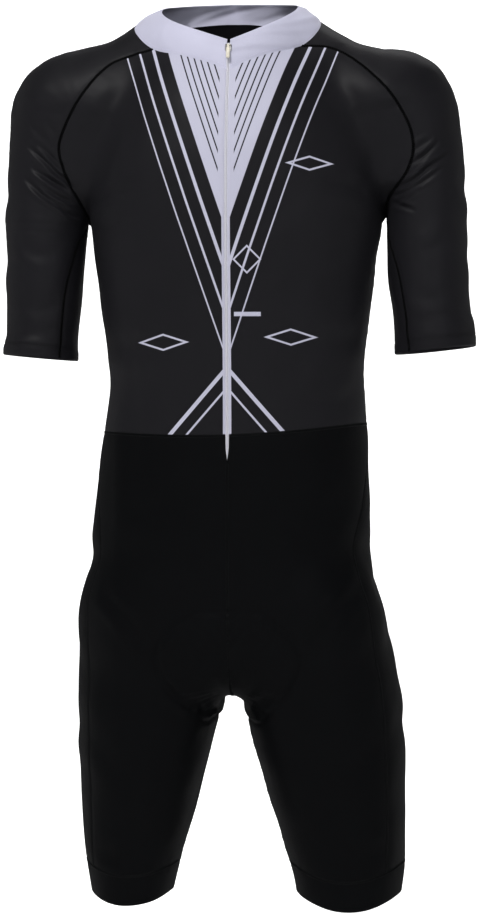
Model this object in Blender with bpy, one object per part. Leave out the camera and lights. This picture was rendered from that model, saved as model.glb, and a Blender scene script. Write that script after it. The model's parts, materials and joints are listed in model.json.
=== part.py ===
"""A cycling skinsuit, hollow and filled out as if worn, in metres with +Z up.

The origin is where the wearer's shoulders carry the suit: between the two ends of the
shoulder line, level with the sides of the neck seam. +X is the wearer's left, and the
front faces -Y.

One smooth form, made of sections of the trunk, the legs and the sleeves, gives the shape.
Every sewn panel is a grid of points that is stretched between its seams and settled on
that form, with a wall of cloth behind it. Table values are millimetres.
"""
import math

import bmesh
import bpy
import numpy as np
from mathutils import Matrix, Vector

MM = 0.001

# Driving sizes
CLOTH = 1.4 * MM            # wall of the stretch cloth, seam allowance included
SEAM_GAP = 0.3 * MM         # between the edges of two sewn pieces
MITRE_LIMIT = 0.5           # keeps the corner of a sharp turn from running far
SPLIT_ORDER = (0.31, 0.17, 1.0)  # direction that tells the two ends of an edge wall apart
ARM_DEPTH = 1.12            # front-to-back over side-to-side size of a sleeve
TRUNK_POWER = 2.3           # squareness of the trunk's sections (2 is an ellipse)
LEG_POWER = 2.1
TRUNK_TOP = 30 * MM
CROTCH = -717 * MM          # underside of the web between the legs
LEG_TOP = -600 * MM
LEG_TOP_BLEND = 40 * MM
WAIST = -443.5 * MM         # waist seam at the centre front
WAIST_TILT = 0.031          # the seam is a little higher on the wearer's left
WAIST_RISE = 0.45           # per metre: its sides rise as the square of the distance
BAND_HEIGHT = 32 * MM       # leg band
ZIP_OPENING = 3.9 * MM      # bare zip between the two fronts
ZIP_BELOW_WAIST = 29 * MM
SLOT_NARROW = 0.8           # opening halfway down that slot, over the opening above

# Trunk: height, side on the wearer's right and left, front, back
TRUNK = (
    (40, -45, 36, -20, 56),
    (10, -64, 54, -34, 68),
    (-20, -86, 78, -57, 82),
    (-50, -115, 108, -82, 100),
    (-90, -138, 136, -101, 112),
    (-134, -150, 152, -112, 116),
    (-180, -155, 159, -117, 116),
    (-220, -154.5, 159, -117, 113),
    (-253, -150.5, 153, -114, 109),
    (-285, -146, 149, -110, 104),
    (-317, -141, 146, -106, 97),
    (-350, -136, 141.5, -102, 92),
    (-388, -134, 140, -99, 88),
    (-415, -137, 141.5, -97.5, 88),
    (-447, -142, 144.5, -97, 91),
    (-480, -145, 145.5, -97.5, 97),
    (-512, -150, 146, -98, 104),
    (-544, -154, 145.5, -98, 111),
    (-577, -156, 147, -97, 117),
    (-609, -160, 153, -94, 121),
    (-641, -161, 158, -89, 121),
    (-674, -150, 150, -80, 114),
    (-700, -132, 134, -66, 100),
    (-730, -110, 112, -48, 84),
)
# Legs: height, side on the wearer's right and left, front, back
LEG_RIGHT = (
    (-600, -162, -12, -82, 112),
    (-640, -168, -8, -81, 111),
    (-680, -170.5, -8, -78, 106),
    (-717, -170.5, -12, -74, 98),
    (-739, -170, -16, -72, 94),
    (-771, -169, -24, -68, 87),
    (-803, -168, -31.5, -64, 81),
    (-836, -166.5, -40.5, -60, 75),
    (-868, -164.5, -49.5, -57, 70),
    (-901, -160.5, -58.5, -54, 65),
    (-932, -155.5, -66, -52, 61),
    (-965, -150, -73, -51, 58),
)
LEG_LEFT = (
    (-600, 149, 6, -82, 112),
    (-640, 161, 5, -81, 111),
    (-680, 172, 6, -78, 106),
    (-717, 178.5, 10, -74, 98),
    (-739, 180.5, 13, -72, 94),
    (-771, 183, 20, -68, 87),
    (-803, 184.5, 28.5, -64, 81),
    (-836, 185, 38.5, -60, 75),
    (-868, 184.5, 49, -57, 70),
    (-901, 183, 59, -54, 65),
    (-932, 180.5, 67, -52, 61),
    (-965, 177, 75, -51, 58),
)
# Sleeves from the neck to below the hem: x, y, z and radius of the round section
ARM_RIGHT = (
    (-77, 24, -35, 50),
    (-99, 12, -51.5, 49),
    (-123, 8, -63.5, 48.5),
    (-155.5, 7, -72.5, 49),
    (-187, 5, -84.8, 51.2),
    (-196, 4, -120, 49),
    (-199, 3, -155, 47),
    (-202.5, 1, -200, 46),
    (-205, -1, -237, 43),
    (-206, -3, -285, 41),
    (-208, -5, -334, 39),
    (-210, -6, -354, 40.5),
    (-212, -7, -395, 42),
)
ARM_LEFT = (
    (67, 24, -34, 47.5),
    (96, 12, -52.5, 47.5),
    (120, 8, -65.5, 47.5),
    (155.5, 7, -76.5, 47),
    (187, 5, -79.5, 47.5),
    (199.5, 4, -120, 45.5),
    (202.5, 3, -155, 45),
    (206.5, 1, -204, 43),
    (209, -1, -252, 43.5),
    (210.5, -3, -285, 43),
    (213, -5, -318, 42),
    (216, -6, -337, 43.5),
    (218, -7, -392, 43.5),
)
# Fullness in the hollow between chest and sleeve, down to the armpit
ARMPIT_RIGHT = (
    (-146, 6, -95, 58), (-152, 6, -135, 50), (-155.5, 5, -168, 37), (-157, 5, -193, 20))
ARMPIT_LEFT = (
    (150, 6, -92, 56), (158, 6, -126, 47), (162, 5, -154, 34), (163.5, 5, -176, 18))
# Blend between sleeve and trunk: wide over the shoulder, tight in the armpit, and
# reaching lower on the front and back faces than under the arm
ARM_BLEND_WIDE = 26 * MM
ARM_BLEND_TIGHT = 3.5 * MM
ARM_BLEND_FROM = -130 * MM
ARM_BLEND_TO = -205 * MM
ARM_BLEND_LOWER = 32 * MM
ARM_FACE = 50 * MM
# Blend between leg and trunk: tight at the web between the legs, wide in front and behind
LEG_BLEND_TIGHT = 5 * MM
LEG_BLEND_WIDE = 38 * MM
LEG_MIDDLE_Y = 15 * MM
LEG_FACE = 55 * MM
TRUNK_END_BLEND = 26 * MM
# Half the distance over which the form's slope is taken
FINE_PROBE = 0.4 * MM
WALL_PROBE = 4 * MM

# Raglan seams as seen from the front and from the back: x, z
RAGLAN_FRONT_RIGHT = (
    (-125, -43), (-158, -78), (-180.5, -120), (-184, -139), (-177, -166), (-163, -195))
RAGLAN_FRONT_LEFT = (
    (113.5, -31), (156.5, -64.5), (185.5, -104), (194.5, -137), (184.5, -167), (168, -186))
RAGLAN_BACK_RIGHT = (
    (-108, -24), (-148, -70), (-174, -118), (-178, -142), (-171, -170), (-161, -198))
RAGLAN_BACK_LEFT = (
    (104, -24), (146, -66), (177, -112), (186, -142), (179, -168), (167, -190))
UNDERARM_RIGHT = (-157.5, 6)
UNDERARM_LEFT = (163, 6)

# Neck seam from the centre front round each side to the centre back: x, y, z
NECK_RIGHT = ((-2, -84, -58), (-87, -57, -20), (-107, 4, -1), (-79, 58, 12), (0, 80, 15))
NECK_LEFT = ((2, -84, -58), (79, -57, -14), (93, 4, 1), (72, 58, 12), (0, 80, 15))
# Top edge of the collar, point for point above the neck seam
COLLAR_RIGHT = ((-2, -76, -24), (-62, -48, -1), (-79, 2, 18), (-60, 44, 27), (-5, 62, 31))
COLLAR_LEFT = ((2, -76, -24), (54, -48, 1), (69, 2, 20), (51, 44, 28), (-5, 62, 31))
COLLAR_BULGE = 2.5 * MM

# Side-front seam of the shorts: height, y
SHORTS_SIDE = ((-470, -12), (-510, -30), (-560, -45), (-620, -50), (-740, -42), (-900, -35))
INSEAM_Y = 4 * MM

# Leg bands: height of the seam at the side, how far it dips at the front and back
HEM_SIDE = -932 * MM
HEM_DIP = {"right": 13 * MM, "left": 18 * MM}
# Sleeve hems: height at the outer side and at the inner side
SLEEVE_HEM = {"right": (-354, -361), "left": (-346, -355)}
# Underarm seam of a sleeve: height, turn in degrees from the inner side to the front
UNDERARM_SEAM = ((-235, 28), (-262, 43), (-293, 52), (-350, 54))
SHOULDER_OUT = 185 * MM     # the sleeve hangs down outside this distance
OVERARM_LINKS = (6, 5)      # first link of the shoulder line, and links between its points
OVERARM_END = 20 * MM       # the shoulder line's last free point above the hem
OVERARM_FINE = 120

# Rises: heights of the centre-front and centre-back seams, and where they turn under
FRONT_RISE = (-520, -570, -620, -660)
BACK_RISE = (-500, -560, -620, -670)
UNDER_FRONT_Y = -35 * MM
UNDER_BACK_Y = 55 * MM
INSEAM_HEIGHTS = (-745, -790, -840)

# Where rays towards the suit start
BESIDE = 300 * MM
BEFORE = 250 * MM
BELOW = -800 * MM
UNDER_ARM = -290 * MM
MARCH_ROUNDS = 120
MARCH_STEP = 0.6            # share of the distance that each step of a ray takes

# Seat pad: distance along it from its front end, half its width
SEAT_PAD = (
    (0, 33), (14, 55), (38, 71), (62, 66), (90, 50), (125, 42), (165, 52), (205, 68),
    (245, 76), (275, 68), (292, 42))
SEAT_PAD_TOP = -634 * MM
SEAT_PAD_THICK = 7 * MM
SEAT_PAD_EDGE = 2.5 * MM
SEAT_PAD_SLOPE = 0.35       # share of the half width over which it gets thick
PAD_LINE_STEPS = 300
SEAT_PAD_CLEAR = 3.0 * MM   # between the shorts' inner face and the pad
PAD_RELIEF = 1.3 * MM       # how far the pad lifts the cloth's outer face
PAD_RELIEF_REACH = 1.25     # full lift within this many times the pad's depth
PAD_RELIEF_FADE = 5 * MM

# Zip: tape behind the cloth, chain in the opening between the two fronts
TAPE_HALF = 11 * MM
TAPE_THICK = 1.0 * MM
TAPE_CLEAR = 0.45 * MM
CHAIN_CLEAR = 0.45 * MM     # from the chain to the edge of the cloth on each side
CHAIN_SINK = 0.2 * MM       # chain's face below the cloth's outer face
TAPE_TOP_SHIFT = 0.12       # ends drawn back from the collar's edge and the slot's end,
TAPE_END_SHIFT = 0.25       # as a share of the last step
# Slider and pull tab, in the collar's plane: x across, z up, n out of the cloth
SLIDER_HEIGHT = -34 * MM
SLIDER = (7.0 * MM, 9.5 * MM, 1.3 * MM)
SLIDER_CLEAR = 0.6 * MM
PIN_OUT = 3.55 * MM         # pin's axis above the cloth
PIN_UP = 1.5 * MM           # and above the slider's middle
PIN_RADIUS = 0.55 * MM
EYE_RADIUS = 1.45 * MM
EYE_HOLE = 0.9 * MM
EYE_WIDTH = 2.4 * MM
EAR_THICK = 0.8 * MM
EAR_OVER = 0.5 * MM         # ear above the pin
SLIDER_CORNER = 2.2 * MM
TAB = (3.8 * MM, 15.5 * MM, 1.2 * MM)
TAB_NECK = 1.0 * MM         # half width beside the eye
TAB_SHOULDER = (1.2 * MM, 2.6 * MM)
TAB_CORNER = 0.8 * MM
ROUND_STEPS = 16

# Columns and rows of the panel grids
RAGLAN_STEPS = 12
SIDE_STEPS = 10
FRONT_STEPS = 10
HALF_BACK_STEPS = 10
CAP_FRONT_STEPS = 6
CAP_BACK_STEPS = 10
UNDER_STEPS = 8
SLOT_STEPS = 2
RISE_STEPS = 10
INSEAM_STEPS = 8
BAND_STEPS = 2
COLLAR_STEPS = 2
PAD_ROWS = 15
PAD_HALF_COLUMNS = 5
HEM_TURN = 72               # steps round a sleeve's hem before it is spaced out
LEG_TURN = 40               # steps along half a leg ring before it is spaced out
CHAIN_FINE = 4              # steps between two rows of a sleeve table
SEAM_FINE = 12              # steps between two points of a seam before it is spaced out
NECK_KNOTS = (1, 3)         # points of the neck tables where the raglan seams start
LEVEL_POINTS = 9            # points cast for each level or centre seam
PAD_HALVINGS = 2            # times that the pad's grid is halved to find what is near it
SETTLE_ROUNDS = 60


# ---- the smooth form -----------------------------------------------------------------

def follow(table, column, height):
    """Value of one column of a section table at any height, smooth through its rows."""
    rows = np.array(sorted(table)) * MM
    known, value = rows[:, 0], rows[:, column]
    slope = np.gradient(value, known)
    i = np.clip(np.searchsorted(known, height) - 1, 0, len(known) - 2)
    span = known[i + 1] - known[i]
    t = np.clip((height - known[i]) / span, 0, 1)
    return ((1 + 2 * t) * (1 - t) ** 2 * value[i] + t * (1 - t) ** 2 * span * slope[i]
            + t * t * (3 - 2 * t) * value[i + 1] + t * t * (t - 1) * span * slope[i + 1])


def section_distance(points, table, power):
    """Level distance of points to a body given by its horizontal sections."""
    side_a, side_b, front, back = (follow(table, c, points[:, 2]) for c in (1, 2, 3, 4))
    across = points[:, 0] - (side_a + side_b) / 2
    along = points[:, 1] - (front + back) / 2
    half_width, half_depth = abs(side_b - side_a) / 2, (back - front) / 2
    gauge = (abs(across / half_width) ** power + abs(along / half_depth) ** power) ** (1 / power)
    reach = np.where(gauge > 1e-3, np.hypot(across, along) / np.maximum(gauge, 1e-3),
                     np.minimum(half_width, half_depth))
    return reach * (gauge - 1)


def curve_through(points, per_span):
    """Catmull-Rom curve through the points, per_span steps between neighbours."""
    knots = np.asarray(points, float)
    knots = np.vstack([2 * knots[0] - knots[1], knots, 2 * knots[-1] - knots[-2]])
    t = (np.arange(per_span) / per_span)[:, None]
    spans = []
    for a, b, c, d in zip(knots, knots[1:], knots[2:], knots[3:]):
        spans.append(b + t * ((c - a) / 2 + t * (a - 2.5 * b + 2 * c - d / 2
                                                 + t * (1.5 * (b - c) + (d - a) / 2))))
    spans.append(knots[-2:-1])
    return np.vstack(spans)


def chain(table):
    """Fine chain of sphere centres and radii along a sleeve."""
    return curve_through(np.array(table) * MM, CHAIN_FINE)


ARM_CHAINS = {"right": chain(ARM_RIGHT), "left": chain(ARM_LEFT)}
ARMPIT_CHAINS = {"right": chain(ARMPIT_RIGHT), "left": chain(ARMPIT_LEFT)}
LEGS = {"right": LEG_RIGHT, "left": LEG_LEFT}


def chain_distance(points, links):
    squash = np.array([1, 1 / ARM_DEPTH, 1])
    start, end = links[:-1], links[1:]
    a, ab = start[:, :3] * squash, (end[:, :3] - start[:, :3]) * squash
    offset = (points * squash)[:, None, :] - a[None]
    t = np.clip((offset * ab).sum(2) / (ab * ab).sum(1), 0, 1)
    gap = np.linalg.norm(offset - t[..., None] * ab, axis=2)
    return (gap - start[:, 3] - t * (end[:, 3] - start[:, 3])).min(axis=1)


def blend_min(a, b, width):
    overlap = np.maximum(width - abs(a - b), 0) / width
    return np.minimum(a, b) - overlap * overlap * width / 4


def blend_max(a, b, width):
    return -blend_min(-a, -b, width)


def ease(value):
    value = np.clip(value, 0, 1)
    return value * value * (3 - 2 * value)


def form(points):
    """Signed distance, about zero on the cloth's outer face and negative inside."""
    y, z = points[:, 1], points[:, 2]
    trunk = section_distance(points, TRUNK, TRUNK_POWER)
    trunk = blend_max(trunk, z - TRUNK_TOP, TRUNK_END_BLEND)
    whole = blend_max(trunk, CROTCH - z, TRUNK_END_BLEND)
    width = LEG_BLEND_TIGHT + (LEG_BLEND_WIDE - LEG_BLEND_TIGHT) * ease(
        abs(y - LEG_MIDDLE_Y) / LEG_FACE)
    for side in ("right", "left"):
        leg = blend_max(section_distance(points, LEGS[side], LEG_POWER), z - LEG_TOP, LEG_TOP_BLEND)
        whole = blend_min(whole, leg, width)
    start = ARM_BLEND_FROM - ARM_BLEND_LOWER * ease(abs(y) / ARM_FACE)
    drop = ease((start - z) / (ARM_BLEND_FROM - ARM_BLEND_TO))
    width = ARM_BLEND_WIDE + (ARM_BLEND_TIGHT - ARM_BLEND_WIDE) * drop
    for side in ("right", "left"):
        whole = blend_min(whole, chain_distance(points, ARM_CHAINS[side]), width)
        whole = blend_min(whole, chain_distance(points, ARMPIT_CHAINS[side]), width)
    return whole


def slope_of(points, step=FINE_PROBE):
    """Gradient of the form by central differences."""
    columns = [(form(points + axis * step) - form(points - axis * step)) / (2 * step)
               for axis in np.eye(3)]
    return np.stack(columns, axis=1)


def on_form(points, rounds=4, level=0.0):
    """Move points straight on to the form, or to a level inside it."""
    flat = points.reshape(-1, 3).copy()
    for _ in range(rounds):
        gradient = slope_of(flat)
        steep = np.maximum((gradient ** 2).sum(1), 0.04)
        flat -= gradient * ((form(flat) - level) / steep)[:, None]
    return flat.reshape(points.shape)


def outward(points):
    """Unit normals, which halve the angle where two sides of a crease are close."""
    gradient = slope_of(points.reshape(-1, 3), WALL_PROBE)
    return (gradient / np.linalg.norm(gradient, axis=1)[:, None]).reshape(points.shape)


def cast(starts, direction):
    """First point of the form that rays from outside meet."""
    points = np.array(starts, float)
    heading = np.array(direction, float)
    for _ in range(MARCH_ROUNDS):
        points += heading * (form(points) * MARCH_STEP)[:, None]
    return points


def ring(centre, across, depth, angles):
    """Points of the form round a centre inside it, in the plane of two directions."""
    centre, across, depth = (np.array(v, float) for v in (centre, across, depth))
    heading = np.cos(angles)[:, None] * across + np.sin(angles)[:, None] * depth
    points = np.repeat(centre[None], len(angles), axis=0)
    heading = heading / np.linalg.norm(heading, axis=1)[:, None]
    for _ in range(MARCH_ROUNDS):
        points -= heading * (form(points) * MARCH_STEP)[:, None]
    return points


# ---- seams ---------------------------------------------------------------------------

def spaced(points, steps):
    """The same curve with even steps."""
    lengths = np.concatenate([[0], np.cumsum(np.linalg.norm(np.diff(points, axis=0), axis=1))])
    wanted = np.linspace(0, lengths[-1], steps + 1)
    return np.stack([np.interp(wanted, lengths, points[:, k]) for k in range(3)], axis=1)


def seam(points, steps):
    """A curve through hand-placed points, laid on the form in even steps."""
    laid = on_form(curve_through(points, SEAM_FINE))
    return on_form(spaced(laid, steps), 2)


def table_points(table):
    return [np.array(row, float) * MM for row in table]


def waist_height(x):
    return WAIST + WAIST_TILT * x + WAIST_RISE * x * x


def raglan(side, face, neck_end, underarm):
    """Raglan seam from the neck to the underarm point, on the front or on the back."""
    table = {("right", -1): RAGLAN_FRONT_RIGHT, ("left", -1): RAGLAN_FRONT_LEFT,
             ("right", 1): RAGLAN_BACK_RIGHT, ("left", 1): RAGLAN_BACK_LEFT}[side, face]
    starts = [(x * MM, face * BEFORE, z * MM) for x, z in table]
    seen = cast(starts, (0, -face, 0))
    return seam(np.vstack([neck_end, seen, underarm]), RAGLAN_STEPS)


def neck_parts(loop):
    """Half a neck loop as evenly stepped front, side and back runs."""
    first, second = (knot * SEAM_FINE for knot in NECK_KNOTS)
    return (spaced(loop[:first + 1], FRONT_STEPS),
            spaced(loop[first:second + 1], CAP_FRONT_STEPS + CAP_BACK_STEPS),
            spaced(loop[second:], HALF_BACK_STEPS))


def build_seams(side):
    """All seams of one half of the suit, each a run of points shared by its two pieces."""
    sign = -1 if side == "right" else 1
    neck = table_points(NECK_RIGHT if side == "right" else NECK_LEFT)
    neck[0][0] = sign * ZIP_OPENING / 2
    neck = on_form(np.array(neck))
    loop = on_form(curve_through(neck, SEAM_FINE))
    neck_runs = [on_form(run, 2) for run in neck_parts(loop)]
    lines = dict(zip(("neck_front", "neck_side", "neck_back"), neck_runs))

    start = np.array(UNDERARM_RIGHT if side == "right" else UNDERARM_LEFT) * MM
    underarm = cast([(start[0], start[1], UNDER_ARM)], (0, 0, 1))[0]
    lines["raglan_front"] = raglan(side, -1, lines["neck_front"][-1], underarm)
    lines["raglan_back"] = raglan(side, 1, lines["neck_back"][0], underarm)

    waist_side_x = follow(TRUNK, 1 if side == "right" else 2, np.array([WAIST]))[0]
    waist_side = np.array([waist_side_x, 0.0, waist_height(waist_side_x)])
    level = [underarm + (waist_side - underarm) * t for t in (0, 1 / 3, 2 / 3, 1)]
    for point in level[1:3]:
        point[0] = follow(TRUNK, 1 if side == "right" else 2, point[2:3])[0]
    lines["side"] = seam(level, SIDE_STEPS)

    half = sign * ZIP_OPENING / 2
    front_xs = np.linspace(half, waist_side_x, LEVEL_POINTS)[:-1]
    front = cast([(x, -BEFORE, waist_height(x)) for x in front_xs], (0, 1, 0))
    lines["waist_front"] = seam(np.vstack([front, lines["side"][-1:]]), FRONT_STEPS)
    back_xs = np.linspace(0, waist_side_x, LEVEL_POINTS)[:-1]
    back = cast([(x, BEFORE, waist_height(x)) for x in back_xs], (0, -1, 0))
    lines["waist_back"] = seam(np.vstack([back, lines["side"][-1:]]), HALF_BACK_STEPS)

    # Centre front of the bodice, beside the zip
    heights = np.linspace(lines["neck_front"][0][2], lines["waist_front"][0][2], LEVEL_POINTS)
    centre = cast([(half, -BEFORE, z) for z in heights[1:-1]], (0, 1, 0))
    lines["centre_front"] = seam(
        np.vstack([lines["neck_front"][:1], centre, lines["waist_front"][:1]]),
        RAGLAN_STEPS + SIDE_STEPS)

    # Shorts: the slot for the zip, the front and back rise, the inseam, the side-front seam
    slot = cast([(half * SLOT_NARROW, -BEFORE, WAIST - ZIP_BELOW_WAIST / 2),
                 (0, -BEFORE, WAIST - ZIP_BELOW_WAIST)], (0, 1, 0))
    slot = np.vstack([lines["waist_front"][:1], slot])
    fork = cast([(0, INSEAM_Y, BELOW)], (0, 0, 1))[0]
    front_rise = cast([(0, -BEFORE, z * MM) for z in FRONT_RISE], (0, 1, 0))
    under = cast([(0, UNDER_FRONT_Y, BELOW)], (0, 0, 1))
    rise = seam(np.vstack([slot[-1:], front_rise, under, fork[None]]), RISE_STEPS)
    back_rise = cast([(0, BEFORE, z * MM) for z in BACK_RISE], (0, -1, 0))
    under_back = cast([(0, UNDER_BACK_Y, BELOW)], (0, 0, 1))
    lines["rise_back"] = seam(
        np.vstack([lines["waist_back"][:1], back_rise, under_back, fork[None]]),
        SLOT_STEPS + RISE_STEPS)

    table = LEGS[side]
    inner = [np.array([follow(table, 2, np.array([z * MM]))[0], INSEAM_Y, z * MM])
             for z in INSEAM_HEIGHTS]
    band_front, band_back, corner = band_seam(side, BAND_HEIGHT)
    outer = [cast([(sign * BESIDE, y * MM, z * MM)], (-sign, 0, 0))[0]
             for z, y in SHORTS_SIDE[:-1]]
    lines["inseam"] = seam(np.vstack([fork, inner, corner["inner"]]), INSEAM_STEPS)
    lines["rise_front"] = np.vstack([slot[:-1], rise])
    lines["shorts_side"] = seam(np.vstack([lines["side"][-1:], outer, corner["outer"]]),
                                SLOT_STEPS + RISE_STEPS + INSEAM_STEPS)
    lines["band_front"], lines["band_back"] = band_front, band_back
    return lines


def hem_height(side, x, y, lift):
    """Leg hem, or the band's seam above it: level at the sides and lower at the front."""
    table = LEGS[side]
    front, back = (follow(table, c, np.array([HEM_SIDE]))[0] for c in (3, 4))
    middle, half = (front + back) / 2, (back - front) / 2
    return HEM_SIDE + lift - HEM_DIP[side] * max(0.0, (middle - y) / half) ** 2


def band_seam(side, lift):
    """Front and back runs of the leg ring, from the inseam round to the side-front seam."""
    table = LEGS[side]
    sign = -1 if side == "right" else 1
    height = np.array([HEM_SIDE + lift])
    outer_x, inner_x, front, back = (follow(table, c, height)[0] for c in (1, 2, 3, 4))
    centre = np.array([(outer_x + inner_x) / 2, (front + back) / 2, height[0]])
    side_y = SHORTS_SIDE[-1][1] * MM
    inner_angle = math.pi - math.asin((INSEAM_Y - centre[1]) / ((back - front) / 2))
    outer_angle = math.asin((side_y - centre[1]) / ((back - front) / 2))
    runs = []
    for steps, start, end in ((FRONT_STEPS, inner_angle, outer_angle + 2 * math.pi),
                              (HALF_BACK_STEPS, inner_angle, outer_angle)):
        points = ring(centre, (sign, 0, 0), (0, 1, 0), np.linspace(start, end, LEG_TURN + 1))
        for _ in range(3):
            points[:, 2] = [hem_height(side, x, y, lift) for x, y, _ in points]
            points = on_form(points, 2)
        runs.append(spaced(points, steps))
    return runs[0], runs[1], {"inner": runs[0][0], "outer": runs[0][-1]}


# ---- panels --------------------------------------------------------------------------

def stretched(inner, outer, top, bottom):
    """Grid between four edge runs: rows go from top to bottom, columns from inner to outer."""
    v = np.linspace(0, 1, len(inner))[:, None, None]
    u = np.linspace(0, 1, len(top))[None, :, None]
    corners = ((1 - v) * ((1 - u) * top[0] + u * top[-1])
               + v * ((1 - u) * bottom[0] + u * bottom[-1]))
    return ((1 - u) * inner[:, None] + u * outer[:, None]
            + (1 - v) * top[None] + v * bottom[None] - corners)


def settled(grid):
    """Let the inner points of a grid slide on the form until they are evenly spread."""
    grid = grid.copy()
    grid[1:-1, 1:-1] = on_form(grid[1:-1, 1:-1], 6)
    for _ in range(SETTLE_ROUNDS):
        up, down, left, right = grid[:-2, 1:-1], grid[2:, 1:-1], grid[1:-1, :-2], grid[1:-1, 2:]
        tall, wide = ((up - down) ** 2).sum(2), ((left - right) ** 2).sum(2)
        share = (tall / (tall + wide))[..., None]
        mean = (share * (left + right) + (1 - share) * (up + down)) / 2
        grid[1:-1, 1:-1] = on_form((grid[1:-1, 1:-1] + mean) / 2, 1)
    return grid


def drawn_in(line, inside):
    """Moves that draw an edge run in by half a seam gap, mitred where the run turns."""
    middle = (line[1:] + line[:-1]) / 2
    away = np.cross(np.diff(line, axis=0), outward(middle))
    away /= np.linalg.norm(away, axis=1)[:, None]
    away *= np.sign((((inside[1:] + inside[:-1]) / 2 - middle) * away).sum())
    before, after = np.vstack([away[:1], away]), np.vstack([away, away[-1:]])
    mitre = np.maximum(1 + (before * after).sum(1), MITRE_LIMIT)
    return (before + after) / mitre[:, None] * SEAM_GAP / 2


def trimmed(grid, closed=False):
    """Draw every sewn edge of a grid in, so that neighbours stay clear of each other."""
    moved = grid.copy()
    moved[0] += drawn_in(grid[0], grid[1])
    moved[-1] += drawn_in(grid[-1], grid[-2])
    if not closed:
        moved[:, 0] += drawn_in(grid[:, 0], grid[:, 1])
        moved[:, -1] += drawn_in(grid[:, -1], grid[:, -2])
    return moved


def slab(name, outer, inner, colour, roughness, closed=False):
    """Closed solid between two grids of points, with the same triangles on both faces."""
    rows, columns = outer.shape[:2]
    number = np.arange(rows * columns).reshape(rows, columns)
    back = rows * columns
    faces = []
    for i in range(rows - 1):
        for j in range(columns if closed else columns - 1):
            k = (j + 1) % columns
            a, b, c, d = number[i, j], number[i, k], number[i + 1, k], number[i + 1, j]
            short = (np.linalg.norm(outer[i, j] - outer[i + 1, k])
                     <= np.linalg.norm(outer[i, k] - outer[i + 1, j]))
            for t in (((a, b, c), (a, c, d)) if short else ((a, b, d), (b, c, d))):
                faces.append(t)
                faces.append((t[2] + back, t[1] + back, t[0] + back))
    edges = []
    if closed:
        edges.append(list(number[0]) + [number[0, 0]])
        edges.append((list(number[-1]) + [number[-1, 0]])[::-1])
    else:
        edges.append(list(number[0]) + list(number[1:, -1])
                     + list(number[-1, -2::-1]) + list(number[-2::-1, 0]))
    # The edge walls of two neighbours are split the same way, so that they don't cross
    points = np.vstack([outer.reshape(-1, 3), inner.reshape(-1, 3)])
    rank = points @ SPLIT_ORDER
    for run in edges:
        for p, q in zip(run, run[1:]):
            if rank[p] > rank[q]:
                faces += [(q, p, p + back), (q, p + back, q + back)]
            else:
                faces += [(q, p, q + back), (p, p + back, q + back)]
    a, b, c, d = outer[0, 0], outer[0, 1], outer[1, 0], outer[0, 0] - inner[0, 0]
    if np.dot(np.cross(b - a, c - a), d) < 0:
        faces = [face[::-1] for face in faces]
    return add_object(name, points, faces, colour, roughness)


def add_object(name, points, faces, colour, roughness, metallic=0.0):
    mesh = bpy.data.meshes.new(name)
    mesh.from_pydata([tuple(p) for p in points], [], [tuple(int(v) for v in f) for f in faces])
    mesh.update()
    material = bpy.data.materials.new(name)
    material.use_nodes = True
    shader = material.node_tree.nodes["Principled BSDF"]
    shader.inputs["Base Color"].default_value = (*colour, 1)
    shader.inputs["Roughness"].default_value = roughness
    shader.inputs["Metallic"].default_value = metallic
    material.diffuse_color = (*colour, 1)
    mesh.materials.append(material)
    item = bpy.data.objects.new(name, mesh)
    bpy.context.scene.collection.objects.link(item)
    return item


CHARCOAL = (0.018, 0.018, 0.021)
BLACK = (0.006, 0.006, 0.008)
WHITE = (0.70, 0.70, 0.78)
PAD_GREY = (0.05, 0.05, 0.06)
METAL = (0.75, 0.74, 0.70)


def cloth_panel(name, grid, colour, closed=False, relief=None):
    """One panel's solid; gives back its trimmed outer grid."""
    grid = trimmed(grid, closed)
    normal = outward(grid)
    lift = 0 if relief is None else relief(grid)[..., None]
    slab(name, grid + normal * lift, grid - normal * CLOTH, colour, 0.6, closed)
    return grid


def bodice(lines):
    fronts = {}
    for side in ("right", "left"):
        part = lines[side]
        outer = np.vstack([part["raglan_front"][:-1], part["side"]])
        grid = stretched(part["centre_front"], outer, part["neck_front"], part["waist_front"])
        fronts[side] = cloth_panel(f"front_{side}", settled(grid), CHARCOAL)
    right, left = lines["right"], lines["left"]
    edge = {side: np.vstack([lines[side]["raglan_back"][:-1], lines[side]["side"]])
            for side in ("right", "left")}
    top = np.vstack([right["neck_back"][:-1], left["neck_back"][::-1]])
    bottom = np.vstack([right["waist_back"][::-1], left["waist_back"][1:]])
    grid = stretched(edge["right"], edge["left"], top, bottom)
    cloth_panel("back", settled(grid), CHARCOAL)
    return fronts


def arm_point(side, height, turn):
    """Point of a sleeve at a height, turned from its inner side towards the front."""
    links = ARM_CHAINS[side]
    low = links[np.argmin(abs(links[:, 2] - height)
                          + 10 * (abs(links[:, 0]) < SHOULDER_OUT))]
    sign = -1 if side == "right" else 1
    return ring((low[0], low[1], height), (-sign, 0, 0), (0, -1, 0), np.array([turn]))[0]


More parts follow.
